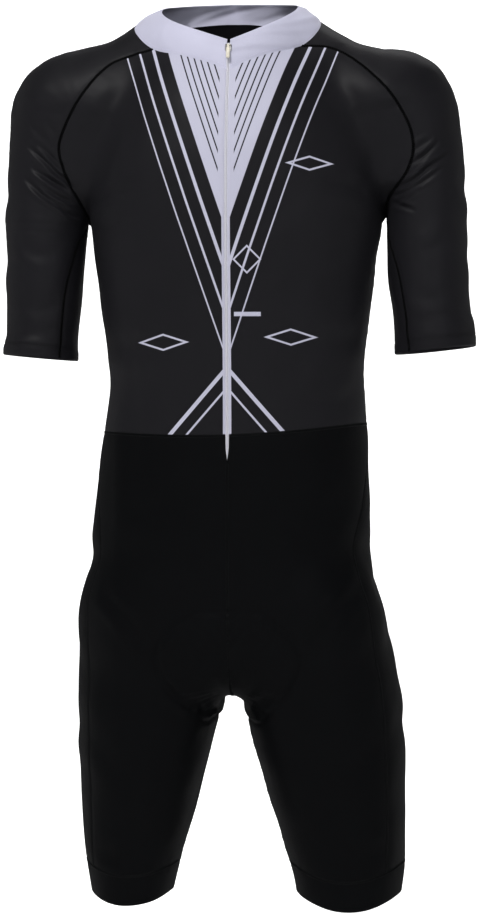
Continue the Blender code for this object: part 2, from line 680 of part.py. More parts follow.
def sleeve(side, part):
    """A raglan sleeve from the neck to the hem, closed along its underarm seam."""
    sign = -1 if side == "right" else 1
    outer_z, inner_z = (z * MM for z in SLEEVE_HEM[side])
    links = ARM_CHAINS[side]
    middle_z = (outer_z + inner_z) / 2
    low = links[np.argmin(abs(links[:, 2] - middle_z))]
    across = np.array([-sign * 2 * low[3], 0, inner_z - outer_z])
    across /= np.linalg.norm(across)
    start = math.radians(UNDERARM_SEAM[-1][1])
    hem = ring((low[0], low[1], middle_z), across, (0, -1, 0),
               np.linspace(start, start + 2 * math.pi, HEM_TURN + 1))
    outer_k = round(HEM_TURN * (math.pi - start) / (2 * math.pi))
    hem_front = spaced(hem[:outer_k + 1], CAP_FRONT_STEPS)
    hem_back = spaced(hem[outer_k:], CAP_BACK_STEPS)

    under = [arm_point(side, z * MM, math.radians(turn)) for z, turn in UNDERARM_SEAM[:-1]]
    under = seam(np.vstack([part["raglan_front"][-1:], under, hem[:1]]), UNDER_STEPS)
    front = np.vstack([part["raglan_front"][:-1], under])
    back = np.vstack([part["raglan_back"][:-1], under])

    over = [part["neck_side"][CAP_FRONT_STEPS]]
    first, every = OVERARM_LINKS
    for a, b in zip(links[first:-first:every], links[first + 1:1 - first:every]):
        along = b[:3] - a[:3]
        outside = np.array([sign * -along[2], 0, sign * along[0]])
        over.append(ring(a[:3], outside, (0, 1, 0), np.array([0.0]))[0])
    over = [p for p in over if p[2] > outer_z + OVERARM_END] + [hem_front[-1]]
    over = seam(np.vstack(over), OVERARM_FINE)
    level = np.argmax(over[:, 2] < part["raglan_front"][-1][2])
    over = on_form(np.vstack([spaced(over[:level + 1], RAGLAN_STEPS)[:-1],
                              spaced(over[level:], UNDER_STEPS)]), 2)

    neck = part["neck_side"]
    grid = np.hstack([
        stretched(front, over, neck[:CAP_FRONT_STEPS + 1], hem_front)[:, :-1],
        stretched(over, back, neck[CAP_FRONT_STEPS:], hem_back)])
    cloth_panel(f"sleeve_{side}", settled(grid), CHARCOAL)


def shorts(side, part, relief):
    inner = np.vstack([part["rise_front"][:-1], part["inseam"]])
    grid = stretched(inner, part["shorts_side"], part["waist_front"], part["band_front"])
    front = cloth_panel(f"shorts_front_{side}", settled(grid), BLACK, relief=relief)
    inner = np.vstack([part["rise_back"][:-1], part["inseam"]])
    grid = stretched(inner, part["shorts_side"], part["waist_back"], part["band_back"])
    cloth_panel(f"shorts_back_{side}", settled(grid), BLACK)
    return front


def leg_band(side, part):
    top = np.vstack([part["band_front"], part["band_back"][-2:0:-1]])
    front, back, _ = band_seam(side, 0)
    bottom = np.vstack([front, back[-2:0:-1]])
    v = np.linspace(0, 1, BAND_STEPS + 1)[:, None, None]
    grid = on_form(top * (1 - v) + bottom * v)
    cloth_panel(f"leg_band_{side}", grid, BLACK, closed=True)


def collar(lines):
    """Stand collar from the centre front round the back, on the neck seam."""
    base, top = [], []
    for side, table in (("right", COLLAR_RIGHT), ("left", COLLAR_LEFT)):
        part = lines[side]
        runs = (part["neck_front"][:-1], part["neck_side"][:-1], part["neck_back"])
        edge = neck_parts(curve_through(table_points(table), SEAM_FINE))
        over = np.vstack([edge[0][:-1], edge[1][:-1], edge[2]])
        base.append(np.vstack(runs))
        top.append(over)
    base = np.vstack([base[0][:-1], base[1][::-1]])
    top = np.vstack([top[0][:-1], top[1][::-1]])
    v = np.linspace(0, 1, COLLAR_STEPS + 1)[:, None, None]
    grid = top * (1 - v) + base * v
    normal = np.cross(np.gradient(grid, axis=1), np.gradient(grid, axis=0))
    normal /= np.linalg.norm(normal, axis=2)[..., None]
    if (normal * (grid - grid.mean(axis=(0, 1)))).sum() < 0:
        normal = -normal
    grid = grid + normal * COLLAR_BULGE * (4 * v * (1 - v))
    grid = trimmed(grid)
    slab("collar", grid, grid - normal * CLOTH, WHITE, 0.6)
    return grid, normal


def seat_pad(lines):
    """Pad under the fork, marched out to both sides of the rise, inside the shorts."""
    right = lines["right"]
    rise = np.vstack([right["rise_front"], right["rise_back"][-2::-1]])
    rise[:, 0] = 0
    level = -CLOTH - SEAT_PAD_CLEAR
    rise = on_form(rise[SLOT_STEPS:-SLOT_STEPS], level=level)
    table = np.array(SEAT_PAD) * MM
    fine = spaced(rise, PAD_LINE_STEPS)
    start = np.argmax(fine[:, 2] < SEAT_PAD_TOP)
    run = fine[start:]
    lengths = np.concatenate([[0], np.cumsum(np.linalg.norm(np.diff(run, axis=0), axis=1))])
    wanted = np.linspace(0, table[-1, 0], PAD_ROWS)
    middle = np.stack([np.interp(wanted, lengths, run[:, k]) for k in range(3)], axis=1)
    half = np.interp(wanted, table[:, 0], table[:, 1])
    columns = {0: middle}
    for sign in (1, -1):
        points, heading = middle.copy(), np.tile([sign * 1.0, 0, 0], (PAD_ROWS, 1))
        for k in range(1, PAD_HALF_COLUMNS + 1):
            moved = on_form(points + heading * (half / PAD_HALF_COLUMNS)[:, None], level=level)
            heading = moved - points
            heading /= np.linalg.norm(heading, axis=1)[:, None]
            points = moved
            columns[sign * k] = moved
    outer = np.stack([columns[k] for k in sorted(columns)], axis=1)
    v = np.linspace(-1, 1, PAD_ROWS)[:, None]
    u = np.linspace(-1, 1, 2 * PAD_HALF_COLUMNS + 1)[None]
    edge = ease((1 - np.maximum(abs(u), abs(v))) / SEAT_PAD_SLOPE)
    thick = SEAT_PAD_EDGE + (SEAT_PAD_THICK - SEAT_PAD_EDGE) * edge
    slab("seat_pad", outer, outer - outward(outer) * thick[..., None], PAD_GREY, 0.9)
    return outer


def pad_relief(outer):
    """Lift of the cloth where the pad lies close behind it."""
    def resampled(grid):
        for _ in range(PAD_HALVINGS):
            grid = np.repeat(grid, 2, axis=0)[:-1]
            grid[1::2] = (grid[:-1:2] + grid[2::2]) / 2
            grid = np.repeat(grid, 2, axis=1)[:, :-1]
            grid[:, 1::2] = (grid[:, :-1:2] + grid[:, 2::2]) / 2
        return grid.reshape(-1, 3)

    marks = resampled(outer)
    direct = (CLOTH + SEAT_PAD_CLEAR) * PAD_RELIEF_REACH

    def lift(grid):
        flat = grid.reshape(-1, 3)
        near = np.array([np.sqrt(((marks - p) ** 2).sum(1).min()) for p in flat])
        fade = ease((near - direct) / PAD_RELIEF_FADE)
        return (PAD_RELIEF * (1 - fade)).reshape(grid.shape[:2])

    return lift


def solid_from_rings(name, rings, colour, roughness, metallic=0.0):
    """Closed solid through rings of equal count, with flat ends."""
    rings = np.asarray(rings)
    count, sides = rings.shape[:2]
    faces = []
    for i in range(count - 1):
        for j in range(sides):
            k = (j + 1) % sides
            a, b, c, d = i * sides + j, i * sides + k, (i + 1) * sides + k, (i + 1) * sides + j
            faces += [(a, b, c), (a, c, d)]
    faces.append(tuple(range(sides))[::-1])
    faces.append(tuple(range((count - 1) * sides, count * sides)))
    points = rings.reshape(-1, 3)
    volume = sum(np.dot(points[f[0]], np.cross(points[f[k]], points[f[k + 1]]))
                 for f in faces for k in range(1, len(f) - 1))
    if volume < 0:
        faces = [face[::-1] for face in faces]
    return add_object(name, points, faces, colour, roughness, metallic)


def zip_stations(collar_grid, collar_normal, fronts, shorts_fronts):
    """Edge points of the opening, the directions into each panel, and the normal."""
    def station(right, right_in, left, left_in, normal):
        unit = [(p - q) / np.linalg.norm(p - q) for p, q in ((right_in, right), (left_in, left))]
        return right, unit[0], left, unit[1], normal / np.linalg.norm(normal)

    rows = []
    for i in range(collar_grid.shape[0] - 1):
        rows.append(station(collar_grid[i, 0], collar_grid[i, 1], collar_grid[i, -1],
                            collar_grid[i, -2], collar_normal[i, 0] + collar_normal[i, -1]))
    slot = SLOT_STEPS + 1
    for right, left, keep in ((fronts["right"], fronts["left"], slice(0, -1)),
                              (shorts_fronts["right"], shorts_fronts["left"], slice(0, slot))):
        normals = outward(right[:, 0]) + outward(left[:, 0])
        for i in range(len(right))[keep]:
            rows.append(station(right[i, 0], right[i, 1], left[i, 0], left[i, 1], normals[i]))
    return rows


def zip_tape(rows):
    """Tape with the closed chain standing up in the opening."""
    rings = []
    for k, (right, right_in, left, left_in, normal) in enumerate(rows):
        middle, opening = (right + left) / 2, np.linalg.norm(left - right)
        if k == 0:
            shift = ((rows[1][0] + rows[1][2]) / 2 - middle) * TAPE_TOP_SHIFT
        elif k == len(rows) - 1:
            shift = ((rows[k - 1][0] + rows[k - 1][2]) / 2 - middle) * TAPE_END_SHIFT
            opening = np.linalg.norm(rows[k - 1][2] - rows[k - 1][0]) / 2
        else:
            shift = 0
        reach = TAPE_HALF - opening / 2
        chain_half = opening / 2 - CHAIN_CLEAR
        across = (left - right) if k < len(rows) - 1 else rows[k - 1][2] - rows[k - 1][0]
        across = across / np.linalg.norm(across)
        back, deep = CLOTH + TAPE_CLEAR, CLOTH + TAPE_CLEAR + TAPE_THICK
        ring = [right + right_in * reach - normal * back,
                middle - across * chain_half - normal * back,
                middle - across * chain_half - normal * CHAIN_SINK,
                middle + across * chain_half - normal * CHAIN_SINK,
                middle + across * chain_half - normal * back,
                left + left_in * reach - normal * back,
                left + left_in * reach - normal * deep,
                right + right_in * reach - normal * deep]
        rings.append(np.array(ring) + shift)
    solid_from_rings("zip_tape", rings, WHITE, 0.7)


def slider_frame(collar_grid, collar_normal):
    """Place and directions of the slider: across, up the collar, out of the cloth."""
    centre = (collar_grid[:, 0] + collar_grid[:, -1]) / 2
    order = np.argsort(centre[:, 2])
    place = np.array([np.interp(SLIDER_HEIGHT, centre[order, 2], centre[order, k])
                      for k in range(3)])
    up = centre[0] - centre[1]
    across = np.array([1.0, 0, 0])
    up = up - across * np.dot(up, across)
    up /= np.linalg.norm(up)
    out = np.cross(across, up)
    return place, across, up, out


def placed(frame, points):
    place, across, up, out = frame
    points = np.asarray(points, float)
    return (place + points[..., :1] * across + points[..., 1:2] * up + points[..., 2:] * out)


def rounded_plate(width, height, corner, low, high):
    """Two rings of a plate with round corners, at two heights above the cloth."""
    outline = []
    for quarter in range(4):
        turn = quarter * math.pi / 2
        cx = (width / 2 - corner) * (1 if quarter in (0, 3) else -1)
        cy = (height / 2 - corner) * (1 if quarter in (0, 1) else -1)
        for step in range(4):
            angle = turn + step * math.pi / 6
            outline.append((cx + corner * math.cos(angle), cy + corner * math.sin(angle)))
    return [[(x, y, level) for x, y in outline] for level in (low, high)]


def zip_slider(frame):
    """Slider plate with two ears that carry the pin."""
    width, height, thick = SLIDER
    low = SLIDER_CLEAR
    body = solid_from_rings(
        "zip_slider",
        placed(frame, rounded_plate(width, height, SLIDER_CORNER, low, low + thick)),
        METAL, 0.35, 0.9)
    inner = EYE_WIDTH / 2 + SEAM_GAP
    ear_length = 2 * EYE_RADIUS
    for sign in (-1, 1):
        xs = (sign * inner, sign * (inner + EAR_THICK))
        top = PIN_OUT + PIN_RADIUS + EAR_OVER
        rings = [[(x, PIN_UP - ear_length / 2, low + thick * 0.5),
                  (x, PIN_UP + ear_length / 2, low + thick * 0.5),
                  (x, PIN_UP + ear_length / 3, top), (x, PIN_UP - ear_length / 3, top)]
                 for x in xs]
        join(body, solid_from_rings("ear", placed(frame, rings), METAL, 0.35, 0.9))
    reach = inner + EAR_THICK / 2
    angles = np.linspace(0, 2 * math.pi, ROUND_STEPS, endpoint=False)
    rings = [[(x, PIN_UP + PIN_RADIUS * math.cos(a), PIN_OUT + PIN_RADIUS * math.sin(a))
              for a in angles] for x in (-reach, reach)]
    join(body, solid_from_rings("pin", placed(frame, rings), METAL, 0.35, 0.9))


def pull_tab(frame):
    """Slim tab that hangs from an eye round the slider's pin."""
    width, length, thick = TAB
    angles = np.linspace(0, 2 * math.pi, ROUND_STEPS, endpoint=False)
    half = EYE_WIDTH / 2
    eye = [[(x, PIN_UP + r * math.cos(a), PIN_OUT + r * math.sin(a)) for a in angles]
           for x, r in ((-half, EYE_HOLE), (-half, EYE_RADIUS), (half, EYE_RADIUS),
                        (half, EYE_HOLE))]
    eye = placed(frame, eye)
    faces = []
    for i in range(4):
        for j in range(ROUND_STEPS):
            k, n = (j + 1) % ROUND_STEPS, (i + 1) % 4
            faces.append((i * ROUND_STEPS + j, i * ROUND_STEPS + k,
                          n * ROUND_STEPS + k, n * ROUND_STEPS + j))
    body = add_object("pull_tab", eye.reshape(-1, 3), faces, WHITE, 0.5)
    fix_outward(body)
    top = -(EYE_HOLE + EYE_RADIUS) / 2
    high, low = (top - drop for drop in TAB_SHOULDER)
    half_outline = [(TAB_NECK, top), (TAB_NECK, high), (width / 2, low),
                    (width / 2, TAB_CORNER - length), (width / 2 - TAB_CORNER, -length)]
    outline = half_outline + [(-x, y) for x, y in half_outline[::-1]]
    rings = [[(x, PIN_UP + y, PIN_OUT + sign * thick / 2) for x, y in outline]
             for sign in (-1, 1)]
    join(body, solid_from_rings("blade", placed(frame, rings), WHITE, 0.5))
    pivot = Vector(placed(frame, [0, PIN_UP, PIN_OUT]))
    body.data.transform(Matrix.Translation(-pivot))
    body.location = pivot


def fix_outward(item):
    work = bmesh.new()
    work.from_mesh(item.data)
    bmesh.ops.recalc_face_normals(work, faces=work.faces)
    work.to_mesh(item.data)
    work.free()


def join(body, other):
    """Unite another closed shape with a body and remove it."""
    union = body.modifiers.new("union", "BOOLEAN")
    union.operation = "UNION"
    union.solver = "EXACT"
    union.object = other
    bpy.context.view_layer.update()
    view = bpy.context.evaluated_depsgraph_get()
    mesh = bpy.data.meshes.new_from_object(body.evaluated_get(view))
    body.modifiers.clear()
    body.data = mesh
    bpy.data.objects.remove(other, do_unlink=True)


def clear_scene():
    for item in list(bpy.data.objects):
        bpy.data.objects.remove(item, do_unlink=True)


def main():
    clear_scene()
    lines = {side: build_seams(side) for side in ("right", "left")}
    relief = pad_relief(seat_pad(lines))
    fronts = bodice(lines)
    shorts_fronts = {}
    for side in ("right", "left"):
        sleeve(side, lines[side])
        shorts_fronts[side] = shorts(side, lines[side], relief)
        leg_band(side, lines[side])
    collar_grid, collar_normal = collar(lines)
    zip_tape(zip_stations(collar_grid, collar_normal, fronts, shorts_fronts))
    frame = slider_frame(collar_grid, collar_normal)
    zip_slider(frame)
    pull_tab(frame)


main()
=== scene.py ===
"""Looks of a worn, empty cycling skinsuit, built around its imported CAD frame.

Axes: x to the wearer's left, y to the wearer's back, z up, in metres. Tables are in
millimetres. Every cloth panel is a thin shell on the smooth form that the CAD panels
follow, with the same seams, and its relief (creases, seams, hems, the pad behind it) is a
height over that form, so neighbouring panels meet exactly.
"""
import json
import math

import bmesh
import bpy
import numpy as np
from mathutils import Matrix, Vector, kdtree

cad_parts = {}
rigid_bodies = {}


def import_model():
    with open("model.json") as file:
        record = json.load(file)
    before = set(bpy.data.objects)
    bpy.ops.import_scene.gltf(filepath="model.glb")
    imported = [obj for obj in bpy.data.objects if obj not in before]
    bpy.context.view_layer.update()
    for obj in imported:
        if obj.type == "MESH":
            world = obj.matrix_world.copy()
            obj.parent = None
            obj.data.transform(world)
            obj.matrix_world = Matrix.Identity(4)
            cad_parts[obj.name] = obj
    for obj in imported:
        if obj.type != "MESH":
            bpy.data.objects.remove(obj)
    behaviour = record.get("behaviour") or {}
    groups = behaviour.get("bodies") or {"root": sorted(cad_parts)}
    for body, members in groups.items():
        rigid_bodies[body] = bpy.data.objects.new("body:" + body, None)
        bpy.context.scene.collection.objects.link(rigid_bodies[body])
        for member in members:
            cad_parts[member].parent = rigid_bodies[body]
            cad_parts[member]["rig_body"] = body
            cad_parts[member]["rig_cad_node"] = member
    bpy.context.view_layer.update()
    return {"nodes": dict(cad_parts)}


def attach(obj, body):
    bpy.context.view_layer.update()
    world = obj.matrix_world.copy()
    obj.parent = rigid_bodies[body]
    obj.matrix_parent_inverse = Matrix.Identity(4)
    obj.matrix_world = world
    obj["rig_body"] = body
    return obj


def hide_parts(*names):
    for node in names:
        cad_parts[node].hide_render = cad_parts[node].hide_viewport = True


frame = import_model()

MM = 0.001
SIDES = ("right", "left")
SIGN = {"right": -1, "left": 1}

# Driving sizes
CLOTH = 1.4 * MM            # wall of the stretch cloth, seam allowance included
ARM_DEPTH = 1.12            # front-to-back over side-to-side size of a sleeve
TRUNK_POWER = 2.3           # squareness of the trunk's sections (2 is an ellipse)
LEG_POWER = 2.1
TRUNK_TOP = 30 * MM
CROTCH = -717 * MM          # underside of the web between the legs
LEG_TOP = -600 * MM
LEG_TOP_BLEND = 40 * MM
WAIST = -443.5 * MM         # waist seam at the centre front
WAIST_TILT = 0.031          # the seam is a little higher on the wearer's left
WAIST_RISE = 0.45           # per metre: its sides rise as the square of the distance
BAND_HEIGHT = 32 * MM       # leg band
ZIP_OPENING = 3.9 * MM      # bare zip between the two fronts
ZIP_BELOW_WAIST = 29 * MM
SLOT_NARROW = 0.8           # opening halfway down that slot, over the opening above

# Trunk: height, side on the wearer's right and left, front, back
TRUNK = (
    (40, -45, 36, -20, 56),
    (10, -64, 54, -34, 68),
    (-20, -86, 78, -57, 82),
    (-50, -115, 108, -82, 100),
    (-90, -138, 136, -101, 112),
    (-134, -150, 152, -112, 116),
    (-180, -155, 159, -117, 116),
    (-220, -154.5, 159, -117, 113),
    (-253, -150.5, 153, -114, 109),
    (-285, -146, 149, -110, 104),
    (-317, -141, 146, -106, 97),
    (-350, -136, 141.5, -102, 92),
    (-388, -134, 140, -99, 88),
    (-415, -137, 141.5, -97.5, 88),
    (-447, -142, 144.5, -97, 91),
    (-480, -145, 145.5, -97.5, 97),
    (-512, -150, 146, -98, 104),
    (-544, -154, 145.5, -98, 111),
    (-577, -156, 147, -97, 117),
    (-609, -160, 153, -94, 121),
    (-641, -161, 158, -89, 121),
    (-674, -150, 150, -80, 114),
    (-700, -132, 134, -66, 100),
    (-730, -110, 112, -48, 84),
)
# Legs: height, side on the wearer's right and left, front, back
LEG_RIGHT = (
    (-600, -162, -12, -82, 112),
    (-640, -168, -8, -81, 111),
    (-680, -170.5, -8, -78, 106),
    (-717, -170.5, -12, -74, 98),
    (-739, -170, -16, -72, 94),
    (-771, -169, -24, -68, 87),
    (-803, -168, -31.5, -64, 81),
    (-836, -166.5, -40.5, -60, 75),
    (-868, -164.5, -49.5, -57, 70),
    (-901, -160.5, -58.5, -54, 65),
    (-932, -155.5, -66, -52, 61),
    (-965, -150, -73, -51, 58),
)
LEG_LEFT = (
    (-600, 149, 6, -82, 112),
    (-640, 161, 5, -81, 111),
    (-680, 172, 6, -78, 106),
    (-717, 178.5, 10, -74, 98),
    (-739, 180.5, 13, -72, 94),
    (-771, 183, 20, -68, 87),
    (-803, 184.5, 28.5, -64, 81),
    (-836, 185, 38.5, -60, 75),
    (-868, 184.5, 49, -57, 70),
    (-901, 183, 59, -54, 65),
    (-932, 180.5, 67, -52, 61),
    (-965, 177, 75, -51, 58),
)
# Sleeves from the neck to below the hem: x, y, z and radius of the round section
ARM_RIGHT = (
    (-77, 24, -35, 50),
    (-99, 12, -51.5, 49),
    (-123, 8, -63.5, 48.5),
    (-155.5, 7, -72.5, 49),
    (-187, 5, -84.8, 51.2),
    (-196, 4, -120, 49),
    (-199, 3, -155, 47),
    (-202.5, 1, -200, 46),
    (-205, -1, -237, 43),
    (-206, -3, -285, 41),
    (-208, -5, -334, 39),
    (-210, -6, -354, 40.5),
    (-212, -7, -395, 42),
)
ARM_LEFT = (
    (67, 24, -34, 47.5),
    (96, 12, -52.5, 47.5),
    (120, 8, -65.5, 47.5),
    (155.5, 7, -76.5, 47),
    (187, 5, -79.5, 47.5),
    (199.5, 4, -120, 45.5),
    (202.5, 3, -155, 45),
    (206.5, 1, -204, 43),
    (209, -1, -252, 43.5),
    (210.5, -3, -285, 43),
    (213, -5, -318, 42),
    (216, -6, -337, 43.5),
    (218, -7, -392, 43.5),
)
# Fullness in the hollow between chest and sleeve, down to the armpit
ARMPIT_RIGHT = (
    (-146, 6, -95, 58), (-152, 6, -135, 50), (-155.5, 5, -168, 37), (-157, 5, -193, 20))
ARMPIT_LEFT = (
    (150, 6, -92, 56), (158, 6, -126, 47), (162, 5, -154, 34), (163.5, 5, -176, 18))
# Blend between sleeve and trunk: wide over the shoulder, tight in the armpit, and
# reaching lower on the front and back faces than under the arm
ARM_BLEND_WIDE = 26 * MM
ARM_BLEND_TIGHT = 3.5 * MM
ARM_BLEND_FROM = -130 * MM
ARM_BLEND_TO = -205 * MM
ARM_BLEND_LOWER = 32 * MM
ARM_FACE = 50 * MM
# Blend between leg and trunk: tight at the web between the legs, wide in front and behind
LEG_BLEND_TIGHT = 5 * MM
LEG_BLEND_WIDE = 38 * MM
LEG_MIDDLE_Y = 15 * MM
LEG_FACE = 55 * MM
TRUNK_END_BLEND = 26 * MM
CHAIN_STEPS = 4             # spheres for each row of a sleeve's table
GAUGE_LEAST = 1e-3          # keeps the middle of a section from dividing by nothing
STEEP_LEAST = 0.04          # the same for the square of the form's slope
# Half the distance over which the form's slope is taken
FINE_PROBE = 0.4 * MM
WALL_PROBE = 4 * MM

# Raglan seams as seen from the front and from the back: x, z
RAGLAN_FRONT_RIGHT = (
    (-125, -43), (-158, -78), (-180.5, -120), (-184, -139), (-177, -166), (-163, -195))
RAGLAN_FRONT_LEFT = (
    (113.5, -31), (156.5, -64.5), (185.5, -104), (194.5, -137), (184.5, -167), (168, -186))
RAGLAN_BACK_RIGHT = (
    (-108, -24), (-148, -70), (-174, -118), (-178, -142), (-171, -170), (-161, -198))
RAGLAN_BACK_LEFT = (
    (104, -24), (146, -66), (177, -112), (186, -142), (179, -168), (167, -190))
UNDERARM_RIGHT = (-157.5, 6)
UNDERARM_LEFT = (163, 6)

# Neck seam from the centre front round each side to the centre back: x, y, z
NECK_RIGHT = ((-2, -84, -58), (-87, -57, -20), (-107, 4, -1), (-79, 58, 12), (0, 80, 15))
NECK_LEFT = ((2, -84, -58), (79, -57, -14), (93, 4, 1), (72, 58, 12), (0, 80, 15))
# Top edge of the collar, point for point above the neck seam
COLLAR_RIGHT = ((-2, -76, -24), (-62, -48, -1), (-79, 2, 18), (-60, 44, 27), (-5, 62, 31))
COLLAR_LEFT = ((2, -76, -24), (54, -48, 1), (69, 2, 20), (51, 44, 28), (-5, 62, 31))
COLLAR_BULGE = 2.5 * MM
COLLAR_SEWN_POWER = 3       # how soon the neck seam's relief fades up the collar

# Side-front seam of the shorts: height, y
SHORTS_SIDE = ((-470, -12), (-510, -30), (-560, -45), (-620, -50), (-740, -42), (-900, -35))
INSEAM_Y = 4 * MM

# Leg bands: height of the seam at the side, how far it dips at the front and back
HEM_SIDE = -932 * MM
HEM_DIP = {"right": 13 * MM, "left": 18 * MM}
# Sleeve hems: height at the outer side and at the inner side
SLEEVE_HEM = {"right": (-354, -361), "left": (-346, -355)}
# Underarm seam of a sleeve: height, turn in degrees from the inner side to the front
UNDERARM_SEAM = ((-235, 28), (-262, 43), (-293, 52), (-350, 54))
SHOULDER_OUT = 185 * MM     # the sleeve hangs down outside this distance
OVERARM_LINKS = (6, 5)      # first link of the shoulder line, and links between its points
OVERARM_END = 20 * MM       # the shoulder line's last free point above the hem
OVERARM_FINE = 120

# Rises: heights of the centre-front and centre-back seams, and where they turn under
FRONT_RISE = (-520, -570, -620, -660)
BACK_RISE = (-500, -560, -620, -670)
UNDER_FRONT_Y = -35 * MM
UNDER_BACK_Y = 55 * MM
INSEAM_HEIGHTS = (-745, -790, -840)

# Where rays towards the suit start
BESIDE = 300 * MM
BEFORE = 250 * MM
BELOW = -800 * MM
UNDER_ARM = -290 * MM
MARCH_ROUNDS = 120
MARCH_STEP = 0.6            # share of the distance that each step of a ray takes

# Seat pad: distance along it from its front end, half its width
SEAT_PAD = (
    (0, 33), (14, 55), (38, 71), (62, 66), (90, 50), (125, 42), (165, 52), (205, 68),
    (245, 76), (275, 68), (292, 42))
SEAT_PAD_TOP = -634 * MM
SEAT_PAD_THICK = 7 * MM
SEAT_PAD_EDGE = 2.5 * MM
SEAT_PAD_SLOPE = 0.35       # share of the half width over which it gets thick
PAD_LINE_STEPS = 300
SEAT_PAD_CLEAR = 3.0 * MM   # between the shorts' inner face and the pad

# Zip: tape behind the cloth, chain in the opening between the two fronts
TAPE_HALF = 11 * MM
TAPE_CLEAR = 0.45 * MM
CHAIN_CLEAR = 0.45 * MM     # from the chain to the edge of the cloth on each side

# Points taken along a seam before it is spaced out
SPOT_STEPS = 12             # between two hand-placed points
WAIST_SPOTS = 9
RING_SPOTS = 41
RING_ROUNDS = 3
WRONG_LIMB = 10             # weight that keeps a search off the shoulder's links

# Columns and rows of the panel grids
RAGLAN_STEPS = 12
SIDE_STEPS = 10
FRONT_STEPS = 10
HALF_BACK_STEPS = 10
CAP_FRONT_STEPS = 6
CAP_BACK_STEPS = 10
UNDER_STEPS = 8
SLOT_STEPS = 2
RISE_STEPS = 10
INSEAM_STEPS = 8
PAD_ROWS = 15
PAD_HALF_COLUMNS = 5
HEM_TURN = 72               # steps round a sleeve's hem before it is spaced out
SETTLE_ROUNDS = 60

# Fine grids: steps between two rows and between two columns of the panel grids
ROW_FINE = 7
COLUMN_FINE = 6
SLEEVE_ROW_FINE = 12        # the sleeves carry the finest creases
SLEEVE_COLUMN_FINE = 10
LEVEL_RUNS = ("neck_front", "neck_side", "neck_back", "waist_front", "waist_back",
              "band_front", "band_back")
COLLAR_ROWS = 16
SHELL = 1.0 * MM            # cloth as seen at its free edges
HEM_FOLD = 0.9 * MM         # turned hem's second layer, on the inside
RIM_BULGE = 0.5             # roundness of a free edge, as a share of the wall
SHARP = math.radians(62)
FAR_OUT = 320 * MM

# Crease across its line, in widths: how far it is felt, the fuller roll on one side and
# the lesser one on the other (place, width, share of the depth), and where they fade
CREASE_REACH = 4.5
CREASE_ROLLS = ((1.7, 1.15, 0.62), (-1.8, 1.3, 0.34))
CREASE_FADE = 2
CREASE_TAPER = 0.7
# Seams: the valley that each draws, and its uneven puckers
SEAM_REACH = 16 * MM
SEAM_VALLEY = 0.55 * MM
SEAM_VALLEY_WIDTH = 3.4 * MM
PUCKER = 13 * MM
PUCKER_HEIGHT = 0.28 * MM
PUCKER_REACH = 6 * MM
PUCKER_SWELL = (0.6, 0.4, 4.3)  # least and extra height, and over how many puckers
SLEEVE_HEM_DEPTH = 11 * MM
HEM_STEP = 0.35 * MM
HEM_GROOVE = 0.4 * MM
HEM_STEP_WIDTH = 1.5 * MM
HEM_GROOVE_WIDTH = 1.6 * MM
HEM_FOLD_WIDTH = 2 * MM
PAD_LIFT = 1.3 * MM
PAD_GROOVE = 1.7 * MM
# Where the pad's lift begins to fall and over what distance, then the groove outside its
# edge and the ridge on it: distance beyond the edge, width, share of the groove's depth
PAD_FALL = (1.5 * MM, 4 * MM)
PAD_RIMS = ((6.5 * MM, 2.2 * MM, -1.0), (0.5 * MM, 2 * MM, 0.6))
PAD_NEAR = (CROTCH - 60 * MM, SEAT_PAD_TOP + 25 * MM, 95 * MM)  # lowest, highest, widest
ZIP_CALM = (4 * MM, 16 * MM)  # beside the zip: flat as far as this, then over this distance

# Broad unevenness: direction of each wave, its length, its phase and its height
WAVES = (
    (0.62, 0.20, 0.76, 118, 0.4, 0.42), (-0.48, 0.55, 0.68, 86, 1.9, 0.34),
    (0.70, -0.62, 0.35, 64, 3.1, 0.26), (0.22, 0.38, -0.90, 52, 4.4, 0.22),
    (-0.88, 0.30, 0.36, 43, 5.2, 0.16), (0.55, 0.66, -0.51, 37, 0.9, 0.13),
    (-0.40, -0.75, 0.53, 29, 2.6, 0.09))

